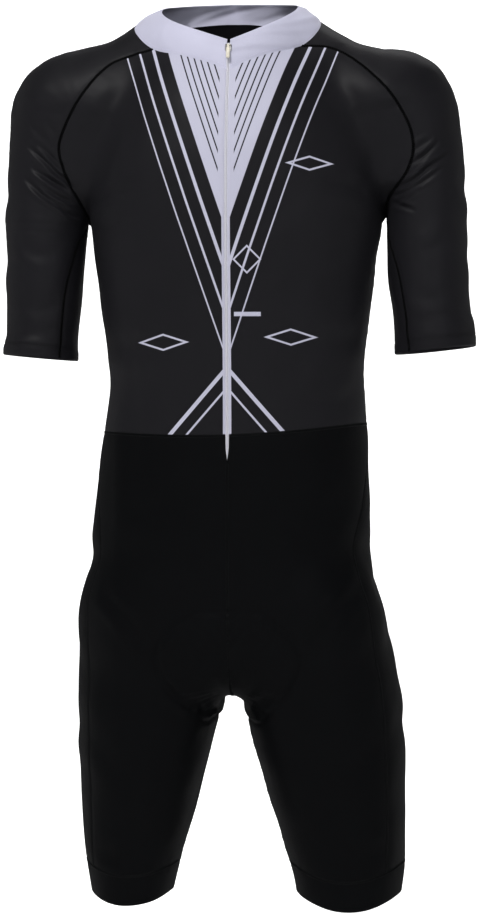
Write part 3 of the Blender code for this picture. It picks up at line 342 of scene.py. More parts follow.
# Creases: face, width, depth, then points (x on the front and back, y on the sides; z)
CREASES_LAID = (
    # Right sleeve: fine drag lines from the armpit up over the arm
    ("front", 2.7, 1.61, ((-220, -131), (-202, -147), (-182, -165))),
    ("front", 2.6, 1.33, ((-207, -131), (-192, -146), (-178, -161))),
    ("front", 2.9, 1.96, ((-215, -155), (-195, -169), (-173, -181))),
    ("front", 2.5, 1.61, ((-195.5, -157), (-177.4, -170), (-165.6, -183))),
    ("front", 2.8, 1.82, ((-223, -166), (-204, -184), (-183, -198))),
    ("front", 2.4, 1.4, ((-205, -174), (-188, -186), (-169, -194))),
    ("front", 2.7, 1.47, ((-187, -193), (-177, -203), (-165, -209))),
    ("front", 3.4, 0.6, ((-217, -107), (-208, -118), (-199, -128))),
    ("front", 3.6, 0.6, ((-198.2, -104.9), (-190, -118), (-182, -131))),
    ("front", 7, 0.9, ((-232, -228), (-215, -246), (-190, -252))),
    ("front", 8, 0.8, ((-228, -296), (-207, -307), (-185, -303))),
    # Left sleeve
    ("front", 2.7, 1.75, ((222, -130), (204.3, -146), (190, -156))),
    ("front", 2.8, 1.89, ((233, -142), (211.7, -157), (195, -171), (175, -181))),
    ("front", 2.5, 1.54, ((224, -159), (204.3, -173), (186, -184), (172, -188))),
    ("front", 2.4, 1.33, ((203, -180), (186, -190), (172, -195))),
    ("front", 2.5, 1.4, ((197, -204), (183, -199), (172, -195))),
    ("front", 3.2, 0.98, ((214, -128), (201, -136), (193, -141))),
    ("front", 8, 0.8, ((235, -222), (222, -240), (200, -249))),
    ("front", 8.5, 0.8, ((193, -288), (212, -297), (232, -290))),
    # Backs of the sleeves: the same drag from the armpit, and folds behind the elbow
    ("back", 3.2, 1.68, ((-222, -140), (-203, -158), (-180, -172))),
    ("back", 3, 1.82, ((-226, -166), (-207, -182), (-184, -192))),
    ("back", 2.8, 1.4, ((-210, -196), (-196, -208), (-178, -213))),
    ("back", 8, 1, ((-236, -248), (-214, -258), (-184, -252))),
    ("back", 8.5, 1.1, ((-240, -283), (-213, -296), (-184, -290))),
    ("back", 7, 0.8, ((-236, -316), (-214, -325), (-190, -322))),
    ("back", 3.1, 1.68, ((224, -136), (206, -150), (184, -160))),
    ("back", 2.9, 1.82, ((231, -160), (213, -175), (190, -183))),
    ("back", 2.7, 1.26, ((214, -190), (202, -201), (186, -205))),
    ("back", 8.5, 1.1, ((243, -252), (222, -264), (192, -257))),
    ("back", 8, 1, ((244, -287), (221, -297), (192, -293))),
    # Outer sides of the sleeves
    ("right", 11, 0.9, ((-24, -172), (-2, -186), (20, -181))),
    ("right", 12, 0.8, ((22, -240), (4, -256), (-22, -250))),
    ("left", 11, 0.9, ((-26, -166), (0, -179), (24, -175))),
    ("left", 12, 0.8, ((26, -238), (2, -251), (-20, -247))),
    # Bodice front: soft drag from the armpits, the chest and the waist
    ("front", 8.0, 1.1, ((-150, -205), (-128, -190), (-99, -184))),
    ("front", 9.0, 0.9, ((-148, -232), (-118, -221), (-84, -224))),
    ("front", 8.0, 1.1, ((155, -196), (133, -181), (103, -176))),
    ("front", 9.0, 0.8, ((153, -224), (124, -214), (92, -217))),
    ("front", 12, 0.9, ((-136, -338), (-100, -350), (-58, -346))),
    ("front", 13, 0.8, ((140, -330), (106, -344), (62, -343))),
    ("front", 10, 1.0, ((-136, -402), (-102, -414), (-64, -411))),
    ("front", 10, 0.9, ((138, -396), (108, -409), (72, -408))),
    ("front", 14, 0.7, ((-92, -268), (-64, -292), (-48, -322))),
    ("front", 14, 0.7, ((96, -262), (70, -288), (50, -318))),
    # Shoulders, front and back, beside the raglan seams
    ("front", 9.0, 0.8, ((-112, -72), (-128, -92), (-136, -118))),
    ("front", 9.0, 0.8, ((112, -66), (131, -88), (141, -114))),
    ("back", 9.0, 0.9, ((-96, -58), (-120, -84), (-132, -116))),
    ("back", 9.0, 0.9, ((98, -60), (122, -86), (137, -120))),
    # Back: between the shoulder blades, under them, and the small of the back
    ("back", 11, 0.9, ((-58, -104), (-12, -112), (38, -106))),
    ("back", 12, 0.8, ((52, -140), (6, -150), (-44, -143))),
    ("back", 8.5, 1.2, ((-150, -212), (-122, -198), (-88, -196))),
    ("back", 9.0, 1.0, ((-148, -246), (-116, -236), (-80, -240))),
    ("back", 8.5, 1.2, ((154, -204), (126, -190), (92, -189))),
    ("back", 9.5, 0.9, ((150, -238), (120, -229), (86, -233))),
    ("back", 10, 1.3, ((-108, -356), (-52, -368), (16, -364))),
    ("back", 10, 1.2, ((104, -378), (46, -389), (-26, -384))),
    ("back", 9.0, 1.1, ((-122, -402), (-70, -413), (-10, -409))),
    ("back", 8.0, 0.9, ((118, -414), (74, -424), (22, -421))),
    # Sides of the bodice over the waist
    ("right", 9.0, 1.0, ((-58, -352), (-20, -364), (22, -358))),
    ("right", 8.0, 0.9, ((-46, -392), (-8, -402), (36, -396))),
    ("left", 9.0, 1.0, ((-62, -344), (-24, -356), (18, -350))),
    ("left", 8.0, 0.9, ((-42, -386), (0, -396), (38, -389))),
    # Shorts front: folds at the groin, across the hips and over the thighs
    ("front", 8.0, 1.3, ((-138, -606), (-106, -640), (-82, -676))),
    ("front", 8.0, 1.3, ((142, -600), (112, -634), (80, -668))),
    ("front", 6.0, 1.2, ((-72, -706), (-50, -722), (-30, -730))),
    ("front", 4.2, 1.4, ((27.7, -722.2), (36, -726), (43.7, -727.5))),
    ("front", 4.2, 1.2, ((-28.9, -729.7), (-30, -735), (-28.9, -742))),
    ("front", 6.5, 1.1, ((60, -704), (46, -720), (30, -734))),
    ("front", 12, 0.8, ((-118, -512), (-84, -526), (-46, -520))),
    ("front", 12, 0.8, ((124, -508), (90, -522), (50, -518))),
    ("front", 14, 0.8, ((-152, -760), (-128, -790), (-98, -808))),
    ("front", 14, 0.8, ((166, -756), (142, -788), (108, -806))),
    ("front", 10, 0.9, ((-150, -884), (-120, -893), (-84, -888))),
    ("front", 10, 0.9, ((172, -878), (140, -889), (98, -884))),
    # Shorts back: under the seat, the small of the back and behind the knees
    ("back", 9.0, 1.8, ((-148, -726), (-108, -742), (-58, -738))),
    ("back", 8.0, 1.3, ((-140, -752), (-104, -766), (-62, -764))),
    ("back", 9.0, 1.8, ((154, -722), (112, -739), (60, -736))),
    ("back", 8.0, 1.3, ((150, -750), (110, -763), (68, -760))),
    ("back", 7.0, 1.2, ((-52, -700), (-34, -716), (-22, -734))),
    ("back", 7.0, 1.2, ((54, -698), (36, -714), (24, -732))),
    ("back", 10, 1.1, ((-104, -476), (-56, -488), (-12, -484))),
    ("back", 10, 1.0, ((108, -480), (60, -491), (14, -489))),
    ("back", 11, 1.0, ((-150, -868), (-116, -878), (-76, -872))),
    ("back", 9.0, 0.9, ((-146, -900), (-114, -908), (-80, -903))),
    ("back", 11, 1.0, ((174, -862), (138, -874), (90, -868))),
    ("back", 9.0, 0.9, ((172, -896), (136, -905), (94, -901))),
    # Sides of the shorts
    ("right", 12, 0.9, ((-48, -560), (-10, -572), (34, -566))),
    ("right", 13, 0.9, ((52, -742), (16, -756), (-28, -748))),
    ("left", 12, 0.9, ((-52, -554), (-12, -566), (30, -561))),
    ("left", 13, 0.9, ((50, -738), (10, -752), (-30, -744))),
)
CREASE_STEPS = 6
CREASE_DEPTH = 1.55         # share of the depths above

# Collar: length, phase and height of its soft unevenness
COLLAR_WAVES = ((0.083, 0.7, 0.5 * MM), (0.047, 2.9, 0.35 * MM), (0.031, 4.6, 0.2 * MM))
NECK_FINE = 12
BAND_ROWS = 14
PAD_FINE = 4

# Sewing: flatlock seams with their threads, needle stitches at the hems
RIBBON_STEP = 2.5 * MM
RIBBON_TOP = 0.3 * MM
RIBBON_PROFILE = ((-1.8 * MM, -0.1 * MM), (-1.35 * MM, 0.22 * MM), (0.0, RIBBON_TOP),
                  (1.35 * MM, 0.22 * MM), (1.8 * MM, -0.1 * MM))
ZIGZAG_STEP = 1.1 * MM
ZIGZAG_HALF = 1.2 * MM
THREAD = 0.2 * MM
THREAD_LIFT = 0.36 * MM
STITCH = 2.8 * MM
STITCH_POINTS = 4
STITCH_RISE = (-0.15 * MM, 0.16 * MM, 0.16 * MM, -0.15 * MM)
NEEDLES = (-1.35 * MM, 1.35 * MM)
HEM_ROWS = (10.2 * MM, 12.4 * MM)
COLLAR_STITCH_ROWS = (3.6 * MM,)

# Zip: tape and coil
TAPE_COLUMNS = 5
TAPE_SHELL = 0.6 * MM
TAPE_TOP_ROWS = 2
TAPE_END_ROWS = 1
COIL_PITCH = 1.4 * MM
COIL_HALF = 1.5 * MM
COIL_LEAST = 0.35 * MM
COIL_WIRE = 0.3 * MM
COIL_CORD = 0.42 * MM
COIL_CORD_LIFT = 0.75 * MM
COIL_SIDES = 6
# Tooth of the coil: place from one side to the other, and height over the tape
COIL_SHAPE = ((0.95, 0.5 * MM), (0.8, 1.25 * MM), (0.0, 1.4 * MM), (-0.45, 1.2 * MM),
              (-0.6, 0.8 * MM))

# Seat pad's sewn channels along it and across it: place, width, depth
PAD_CHANNELS = ((0.0, 0.09, 2.0 * MM), (0.42, 0.06, 1.6 * MM))
PAD_CROSSINGS = ((-0.42, 0.05, 1.5 * MM), (0.18, 0.05, 1.4 * MM), (0.6, 0.05, 1.5 * MM))
PAD_COLOUR = (0.045, 0.046, 0.055)
PAD_PORES = 420.0

# Rigid parts
WELD = 1e-6
FLAT_ANGLE = math.radians(2)
BEVEL_ANGLE = math.radians(25)
SLIDER_BEVEL = 0.28 * MM
TAB_BEVEL = 0.22 * MM

# Colours
WEAVE_MAP = "weave"
CHARCOAL = (0.0100, 0.0098, 0.0118)
BLACK = (0.0028, 0.0030, 0.0035)
COLLAR_WHITE = (0.56, 0.56, 0.70)
INK_WHITE = (0.52, 0.52, 0.64)
ZIP_WHITE = (0.66, 0.66, 0.72)
CREAM = (0.74, 0.70, 0.58)
STEEL = (0.72, 0.71, 0.69)
SEAM_DARK = (0.0012, 0.0012, 0.0015)
THREAD_BLACK = (0.005, 0.0055, 0.006)
KNIT_CLOUD = 14.0
KNIT_FOLD = 60.0
KNIT_FIBRE = 900.0
EDGE_MATT = 0.5             # added roughness where the cloth turns away
THREAD_TWIST = 2600.0
GRAIN = 600.0
GRAIN_DEPTH = 0.04 * MM
PORE_EDGE = (0.18, 0.32)
TWILL = 0.55 * MM

# Print on the fronts, in millimetres: x across, z up
PRINT_EDGE = 0.5
WEDGE_TIP = -228.0
WEDGE_SLOPE = 0.344
PINSTRIPE_PITCH = 6.6
PINSTRIPE_HALF = 0.75
PINSTRIPE_FROM = 8.0
PINSTRIPE_CLEAR = 8.4
CHEVRONS = ((15.6, 1.8), (31.5, 1.2), (46.5, 0.8))
CENTRE_STRIPE_HALF = 4.4
TENT_SLOPE = 1.15
TENTS = ((-372.0, 3.1), (-393.0, 1.6))
# Centre x and z, half width, half height, half line
RHOMBI = ((22.0, -259.0, 14.0, 14.0, 1.2), (-68.0, -345.0, 25.0, 8.0, 1.0),
          (67.0, -340.0, 25.0, 8.0, 1.0), (87.0, -158.0, 22.0, 7.0, 1.0))
BARS = ((22.0, -316.0, 14.0, 2.2),)

# Studio, in metres: the lights' names, places, sizes, watts and colours stand last
FLOOR = -1.02
STAGE_RADIUS = 12.0
STAGE_BEND = 2.5
STAGE_BEND_STEPS = 16
STAGE_TOP = 7.5
STAGE_SIDES = 72
PAPER_CLOUD = 3.0
PAPER_TONES = ((0.90, 0.90, 0.90, 1), (0.93, 0.93, 0.93, 1))
# Glow behind the suit: from none to full along y, then across, where the limits move out
# with y by the spread
STAGE_GLOW_Y = (-0.2, 0.8)
STAGE_GLOW_X = (1.6, 0.45)
STAGE_GLOW_SPREAD = 0.2
STAGE_GLOW_LOW = 0.16
STAGE_GLOW_HIGH = 0.95
WORLD_STRENGTH = 0.05
TARGET = Vector((0.00594, 0, -0.468))
CAMERA_AWAY = 3.6
CAMERA_AZIMUTH = 4.5
CAMERA_LENS = 130.7
CAMERA_SENSOR = 36
CAMERA_CLIP = 50
LIGHTS = (
    ("key", (-0.8, -2.1, 2.3), (0.6, 0.6), 90, (1.0, 0.99, 0.98)),
    ("fill", (1.5, -2.8, 0.9), (0.8, 1.2), 12, (0.97, 0.98, 1.0)),
    ("front", (-0.2, -4.4, 0.2), (2.2, 1.0), 8, (1.0, 1.0, 1.0)),
    ("behind", (0.5, 3.0, 2.2), (1.6, 1.2), 40, (1.0, 1.0, 1.0)),
    ("top", (0.0, 0.4, 2.2), (1.6, 1.2), 8, (1.0, 1.0, 1.0)),
)


# ---- the smooth form -----------------------------------------------------------------

def follow(table, column, height):
    """Value of one column of a section table at any height, smooth through its rows."""
    rows = np.array(sorted(table)) * MM
    known, value = rows[:, 0], rows[:, column]
    slope = np.gradient(value, known)
    i = np.clip(np.searchsorted(known, height) - 1, 0, len(known) - 2)
    span = known[i + 1] - known[i]
    t = np.clip((height - known[i]) / span, 0, 1)
    return ((1 + 2 * t) * (1 - t) ** 2 * value[i] + t * (1 - t) ** 2 * span * slope[i]
            + t * t * (3 - 2 * t) * value[i + 1] + t * t * (t - 1) * span * slope[i + 1])


def section_distance(points, table, power):
    """Level distance of points to a body given by its horizontal sections."""
    side_a, side_b, front, back = (follow(table, c, points[:, 2]) for c in (1, 2, 3, 4))
    across = points[:, 0] - (side_a + side_b) / 2
    along = points[:, 1] - (front + back) / 2
    half_width, half_depth = abs(side_b - side_a) / 2, (back - front) / 2
    gauge = (abs(across / half_width) ** power + abs(along / half_depth) ** power) ** (1 / power)
    reach = np.where(gauge > GAUGE_LEAST,
                     np.hypot(across, along) / np.maximum(gauge, GAUGE_LEAST),
                     np.minimum(half_width, half_depth))
    return reach * (gauge - 1)


def curve_through(points, per_span):
    """Catmull-Rom curve through the points, per_span steps between neighbours."""
    knots = np.asarray(points, float)
    knots = np.vstack([2 * knots[0] - knots[1], knots, 2 * knots[-1] - knots[-2]])
    t = (np.arange(per_span) / per_span)[:, None]
    spans = []
    for a, b, c, d in zip(knots, knots[1:], knots[2:], knots[3:]):
        spans.append(b + t * ((c - a) / 2 + t * (a - 2.5 * b + 2 * c - d / 2
                                                 + t * (1.5 * (b - c) + (d - a) / 2))))
    spans.append(knots[-2:-1])
    return np.vstack(spans)


def chain(table):
    """Fine chain of sphere centres and radii along a sleeve."""
    return curve_through(np.array(table) * MM, CHAIN_STEPS)


ARM_CHAINS = {"right": chain(ARM_RIGHT), "left": chain(ARM_LEFT)}
ARMPIT_CHAINS = {"right": chain(ARMPIT_RIGHT), "left": chain(ARMPIT_LEFT)}
LEGS = {"right": LEG_RIGHT, "left": LEG_LEFT}


def chain_distance(points, links):
    squash = np.array([1, 1 / ARM_DEPTH, 1])
    start, end = links[:-1], links[1:]
    a, ab = start[:, :3] * squash, (end[:, :3] - start[:, :3]) * squash
    offset = (points * squash)[:, None, :] - a[None]
    t = np.clip((offset * ab).sum(2) / (ab * ab).sum(1), 0, 1)
    gap = np.linalg.norm(offset - t[..., None] * ab, axis=2)
    return (gap - start[:, 3] - t * (end[:, 3] - start[:, 3])).min(axis=1)


def unit(vectors):
    return vectors / np.linalg.norm(vectors, axis=-1)[..., None]


def blend_min(a, b, width):
    overlap = np.maximum(width - abs(a - b), 0) / width
    return np.minimum(a, b) - overlap * overlap * width / 4


def blend_max(a, b, width):
    return -blend_min(-a, -b, width)


def ease(value):
    value = np.clip(value, 0, 1)
    return value * value * (3 - 2 * value)


def boxed(links):
    """A chain with the corners of the box outside which it changes nothing."""
    reach = links[:, 3].max() * ARM_DEPTH + ARM_BLEND_WIDE
    return links, links[:, :3].min(0) - reach, links[:, :3].max(0) + reach


CHAINS = [boxed(links) for side in SIDES
          for links in (ARM_CHAINS[side], ARMPIT_CHAINS[side])]


def form(points):
    """Signed distance, about zero on the cloth's outer face and negative inside."""
    y, z = points[:, 1], points[:, 2]
    trunk = section_distance(points, TRUNK, TRUNK_POWER)
    trunk = blend_max(trunk, z - TRUNK_TOP, TRUNK_END_BLEND)
    whole = blend_max(trunk, CROTCH - z, TRUNK_END_BLEND)
    low = z < LEG_TOP + 3 * LEG_TOP_BLEND
    if low.any():
        near = points[low]
        width = LEG_BLEND_TIGHT + (LEG_BLEND_WIDE - LEG_BLEND_TIGHT) * ease(
            abs(near[:, 1] - LEG_MIDDLE_Y) / LEG_FACE)
        for side in SIDES:
            leg = blend_max(section_distance(near, LEGS[side], LEG_POWER),
                            near[:, 2] - LEG_TOP, LEG_TOP_BLEND)
            whole[low] = blend_min(whole[low], leg, width)
    start = ARM_BLEND_FROM - ARM_BLEND_LOWER * ease(abs(y) / ARM_FACE)
    drop = ease((start - z) / (ARM_BLEND_FROM - ARM_BLEND_TO))
    width = ARM_BLEND_WIDE + (ARM_BLEND_TIGHT - ARM_BLEND_WIDE) * drop
    for links, lowest, highest in CHAINS:
        near = ((points > lowest) & (points < highest)).all(1)
        if near.any():
            arm = chain_distance(points[near], links)
            whole[near] = blend_min(whole[near], arm, width[near])
    return whole


def slope_of(points, step=FINE_PROBE):
    """Gradient of the form by central differences."""
    columns = [(form(points + axis * step) - form(points - axis * step)) / (2 * step)
               for axis in np.eye(3)]
    return np.stack(columns, axis=1)


def on_form(points, rounds=4, level=0.0):
    """Move points straight on to the form, or to a level inside it."""
    flat = points.reshape(-1, 3).copy()
    for _ in range(rounds):
        gradient = slope_of(flat)
        steep = np.maximum((gradient ** 2).sum(1), STEEP_LEAST)
        flat -= gradient * ((form(flat) - level) / steep)[:, None]
    return flat.reshape(points.shape)


def outward(points):
    """Unit normals, which halve the angle where two sides of a crease are close."""
    return unit(slope_of(points.reshape(-1, 3), WALL_PROBE)).reshape(points.shape)


def cast(starts, direction):
    """First point of the form that rays from outside meet."""
    points = np.array(starts, float)
    heading = np.array(direction, float)
    for _ in range(MARCH_ROUNDS):
        points += heading * (form(points) * MARCH_STEP)[:, None]
    return points


def ring(centre, across, depth, angles):
    """Points of the form round a centre inside it, in the plane of two directions."""
    centre, across, depth = (np.array(v, float) for v in (centre, across, depth))
    heading = unit(np.cos(angles)[:, None] * across + np.sin(angles)[:, None] * depth)
    points = np.repeat(centre[None], len(angles), axis=0)
    for _ in range(MARCH_ROUNDS):
        points -= heading * (form(points) * MARCH_STEP)[:, None]
    return points


# ---- seams ---------------------------------------------------------------------------

def run_lengths(points):
    """Length along a run up to each of its points."""
    return np.concatenate([[0], np.cumsum(np.linalg.norm(np.diff(points, axis=0), axis=1))])


def at_lengths(wanted, lengths, values):
    """Points or directions of a run at the wanted lengths."""
    return np.stack([np.interp(wanted, lengths, values[:, k]) for k in range(3)], axis=1)


def spaced(points, steps):
    """The same curve with even steps."""
    lengths = run_lengths(points)
    return at_lengths(np.linspace(0, lengths[-1], steps + 1), lengths, points)


def seam(points, steps):
    """A curve through given points, laid on the form in even steps."""
    laid = on_form(curve_through(points, SPOT_STEPS))
    return on_form(spaced(laid, steps), 2)


def table_points(table):
    return [np.array(row, float) * MM for row in table]


def waist_height(x):
    return WAIST + WAIST_TILT * x + WAIST_RISE * x * x


def raglan(side, face, neck_end, underarm):
    """Raglan seam from the neck to the underarm point, on the front or on the back."""
    table = {("right", -1): RAGLAN_FRONT_RIGHT, ("left", -1): RAGLAN_FRONT_LEFT,
             ("right", 1): RAGLAN_BACK_RIGHT, ("left", 1): RAGLAN_BACK_LEFT}[side, face]
    starts = [(x * MM, face * BEFORE, z * MM) for x, z in table]
    seen = cast(starts, (0, -face, 0))
    return seam(np.vstack([neck_end, seen, underarm]), RAGLAN_STEPS)


def build_seams(side):
    """All seams of one half of the suit, each a run of points shared by its two pieces."""
    sign = SIGN[side]
    neck = table_points(NECK_RIGHT if side == "right" else NECK_LEFT)
    neck[0][0] = sign * ZIP_OPENING / 2
    neck = on_form(np.array(neck))
    loop = on_form(curve_through(neck, SPOT_STEPS))
    first, last = SPOT_STEPS, 3 * SPOT_STEPS
    lines = {"neck_front": on_form(spaced(loop[:first + 1], FRONT_STEPS), 2),
             "neck_side": on_form(spaced(loop[first:last + 1],
                                         CAP_FRONT_STEPS + CAP_BACK_STEPS), 2),
             "neck_back": on_form(spaced(loop[last:], HALF_BACK_STEPS), 2)}

    start = np.array(UNDERARM_RIGHT if side == "right" else UNDERARM_LEFT) * MM
    underarm = cast([(start[0], start[1], UNDER_ARM)], (0, 0, 1))[0]
    lines["raglan_front"] = raglan(side, -1, lines["neck_front"][-1], underarm)
    lines["raglan_back"] = raglan(side, 1, lines["neck_back"][0], underarm)

    waist_side_x = follow(TRUNK, 1 if side == "right" else 2, np.array([WAIST]))[0]
    waist_side = np.array([waist_side_x, 0.0, waist_height(waist_side_x)])
    level = [underarm + (waist_side - underarm) * t for t in (0, 1 / 3, 2 / 3, 1)]
    for point in level[1:3]:
        point[0] = follow(TRUNK, 1 if side == "right" else 2, point[2:3])[0]
    lines["side"] = seam(level, SIDE_STEPS)

    half = sign * ZIP_OPENING / 2
    front_xs = np.linspace(half, waist_side_x, WAIST_SPOTS)[:-1]
    front = cast([(x, -BEFORE, waist_height(x)) for x in front_xs], (0, 1, 0))
    lines["waist_front"] = seam(np.vstack([front, lines["side"][-1:]]), FRONT_STEPS)
    back_xs = np.linspace(0, waist_side_x, WAIST_SPOTS)[:-1]
    back = cast([(x, BEFORE, waist_height(x)) for x in back_xs], (0, -1, 0))
    lines["waist_back"] = seam(np.vstack([back, lines["side"][-1:]]), HALF_BACK_STEPS)

    # Centre front of the bodice, beside the zip
    heights = np.linspace(lines["neck_front"][0][2], lines["waist_front"][0][2], WAIST_SPOTS)
    centre = cast([(half, -BEFORE, z) for z in heights[1:-1]], (0, 1, 0))
    lines["centre_front"] = seam(
        np.vstack([lines["neck_front"][:1], centre, lines["waist_front"][:1]]),
        RAGLAN_STEPS + SIDE_STEPS)

    # Shorts: the slot for the zip, the front and back rise, the inseam, the side-front seam
    slot = cast([(half * SLOT_NARROW, -BEFORE, WAIST - ZIP_BELOW_WAIST / 2),
                 (0, -BEFORE, WAIST - ZIP_BELOW_WAIST)], (0, 1, 0))
    slot = np.vstack([lines["waist_front"][:1], slot])
    fork = cast([(0, INSEAM_Y, BELOW)], (0, 0, 1))[0]
    front_rise = cast([(0, -BEFORE, z * MM) for z in FRONT_RISE], (0, 1, 0))
    under = cast([(0, UNDER_FRONT_Y, BELOW)], (0, 0, 1))
    rise = seam(np.vstack([slot[-1:], front_rise, under, fork[None]]), RISE_STEPS)
    back_rise = cast([(0, BEFORE, z * MM) for z in BACK_RISE], (0, -1, 0))
    under_back = cast([(0, UNDER_BACK_Y, BELOW)], (0, 0, 1))
    lines["rise_back"] = seam(
        np.vstack([lines["waist_back"][:1], back_rise, under_back, fork[None]]),
        SLOT_STEPS + RISE_STEPS)

    table = LEGS[side]
    inner = [np.array([follow(table, 2, np.array([z * MM]))[0], INSEAM_Y, z * MM])
             for z in INSEAM_HEIGHTS]
    band_front, band_back, corner = band_seam(side, BAND_HEIGHT)
    outer = [cast([(sign * BESIDE, y * MM, z * MM)], (-sign, 0, 0))[0]
             for z, y in SHORTS_SIDE[:-1]]
    lines["inseam"] = seam(np.vstack([fork, inner, corner["inner"]]), INSEAM_STEPS)
    lines["rise_front"] = np.vstack([slot[:-1], rise])
    lines["shorts_side"] = seam(np.vstack([lines["side"][-1:], outer, corner["outer"]]),
                                SLOT_STEPS + RISE_STEPS + INSEAM_STEPS)
    lines["band_front"], lines["band_back"] = band_front, band_back
    return lines


def hem_height(side, y, lift):
    """Leg hem, or the band's seam above it: level at the sides and lower at the front."""
    table = LEGS[side]
    front, back = (follow(table, c, np.array([HEM_SIDE]))[0] for c in (3, 4))
    middle, half = (front + back) / 2, (back - front) / 2
    return HEM_SIDE + lift - HEM_DIP[side] * max(0.0, (middle - y) / half) ** 2


def band_seam(side, lift):
    """Front and back runs of the leg ring, from the inseam round to the side-front seam."""
    table = LEGS[side]
    sign = SIGN[side]
    height = np.array([HEM_SIDE + lift])
    outer_x, inner_x, front, back = (follow(table, c, height)[0] for c in (1, 2, 3, 4))
    centre = np.array([(outer_x + inner_x) / 2, (front + back) / 2, height[0]])
    side_y = SHORTS_SIDE[-1][1] * MM
    inner_angle = math.pi - math.asin((INSEAM_Y - centre[1]) / ((back - front) / 2))
    outer_angle = math.asin((side_y - centre[1]) / ((back - front) / 2))
    runs = []
    for steps, start, end in ((FRONT_STEPS, inner_angle, outer_angle + 2 * math.pi),
                              (HALF_BACK_STEPS, inner_angle, outer_angle)):
        points = ring(centre, (sign, 0, 0), (0, 1, 0), np.linspace(start, end, RING_SPOTS))
        for _ in range(RING_ROUNDS):
            points[:, 2] = [hem_height(side, y, lift) for y in points[:, 1]]
            points = on_form(points, 2)
        runs.append(spaced(points, steps))
    return runs[0], runs[1], {"inner": runs[0][0], "outer": runs[0][-1]}


# ---- panels --------------------------------------------------------------------------

def stretched(inner, outer, top, bottom):
    """Grid between four edge runs: rows go from top to bottom, columns from inner to outer."""
    v = np.linspace(0, 1, len(inner))[:, None, None]
    u = np.linspace(0, 1, len(top))[None, :, None]
    corners = ((1 - v) * ((1 - u) * top[0] + u * top[-1])
               + v * ((1 - u) * bottom[0] + u * bottom[-1]))
    return ((1 - u) * inner[:, None] + u * outer[:, None]
            + (1 - v) * top[None] + v * bottom[None] - corners)


def settled(grid):
    """Let the inner points of a grid slide on the form until they are evenly spread."""
    grid = grid.copy()
    grid[1:-1, 1:-1] = on_form(grid[1:-1, 1:-1], 6)
    for _ in range(SETTLE_ROUNDS):
        up, down, left, right = grid[:-2, 1:-1], grid[2:, 1:-1], grid[1:-1, :-2], grid[1:-1, 2:]
        tall, wide = ((up - down) ** 2).sum(2), ((left - right) ** 2).sum(2)
        share = (tall / (tall + wide))[..., None]
        mean = (share * (left + right) + (1 - share) * (up + down)) / 2
        grid[1:-1, 1:-1] = on_form((grid[1:-1, 1:-1] + mean) / 2, 1)
    return grid


# ---- fine panels ----------------------------------------------------------------------

def refined_run(run, fine):
    return on_form(curve_through(run, fine), 2)


def fine_seams(lines):
    """The seams' runs with the fine grids' steps."""
    return {name: refined_run(run, COLUMN_FINE if name in LEVEL_RUNS else ROW_FINE)
            for name, run in lines.items()}


def refined(grid, inner, outer, top, bottom, row_fine=ROW_FINE, column_fine=COLUMN_FINE):
    """A settled grid with fine steps, held to its four fine edge runs."""
    rows, columns = grid.shape[:2]
    fine = curve_through(grid.reshape(rows, -1), row_fine).reshape(-1, columns, 3)
    fine = fine.transpose(1, 0, 2).reshape(columns, -1)
    fine = curve_through(fine, column_fine).reshape(-1, len(inner), 3).transpose(1, 0, 2)
    fine = fine + stretched(inner - fine[:, 0], outer - fine[:, -1],
                            top - fine[0], bottom - fine[-1])
    return on_form(fine, 3)


def joined(*runs):
    """Runs end to end, each starting where the one before it stopped."""
    return np.vstack([run[:-1] for run in runs[:-1]] + [runs[-1]])


def arm_point(side, height, turn):
    """Point of a sleeve at a height, turned from its inner side towards the front."""
    links = ARM_CHAINS[side]
    low = links[np.argmin(abs(links[:, 2] - height)
                          + WRONG_LIMB * (abs(links[:, 0]) < SHOULDER_OUT))]
    sign = SIGN[side]
    return ring((low[0], low[1], height), (-sign, 0, 0), (0, -1, 0), np.array([turn]))[0]


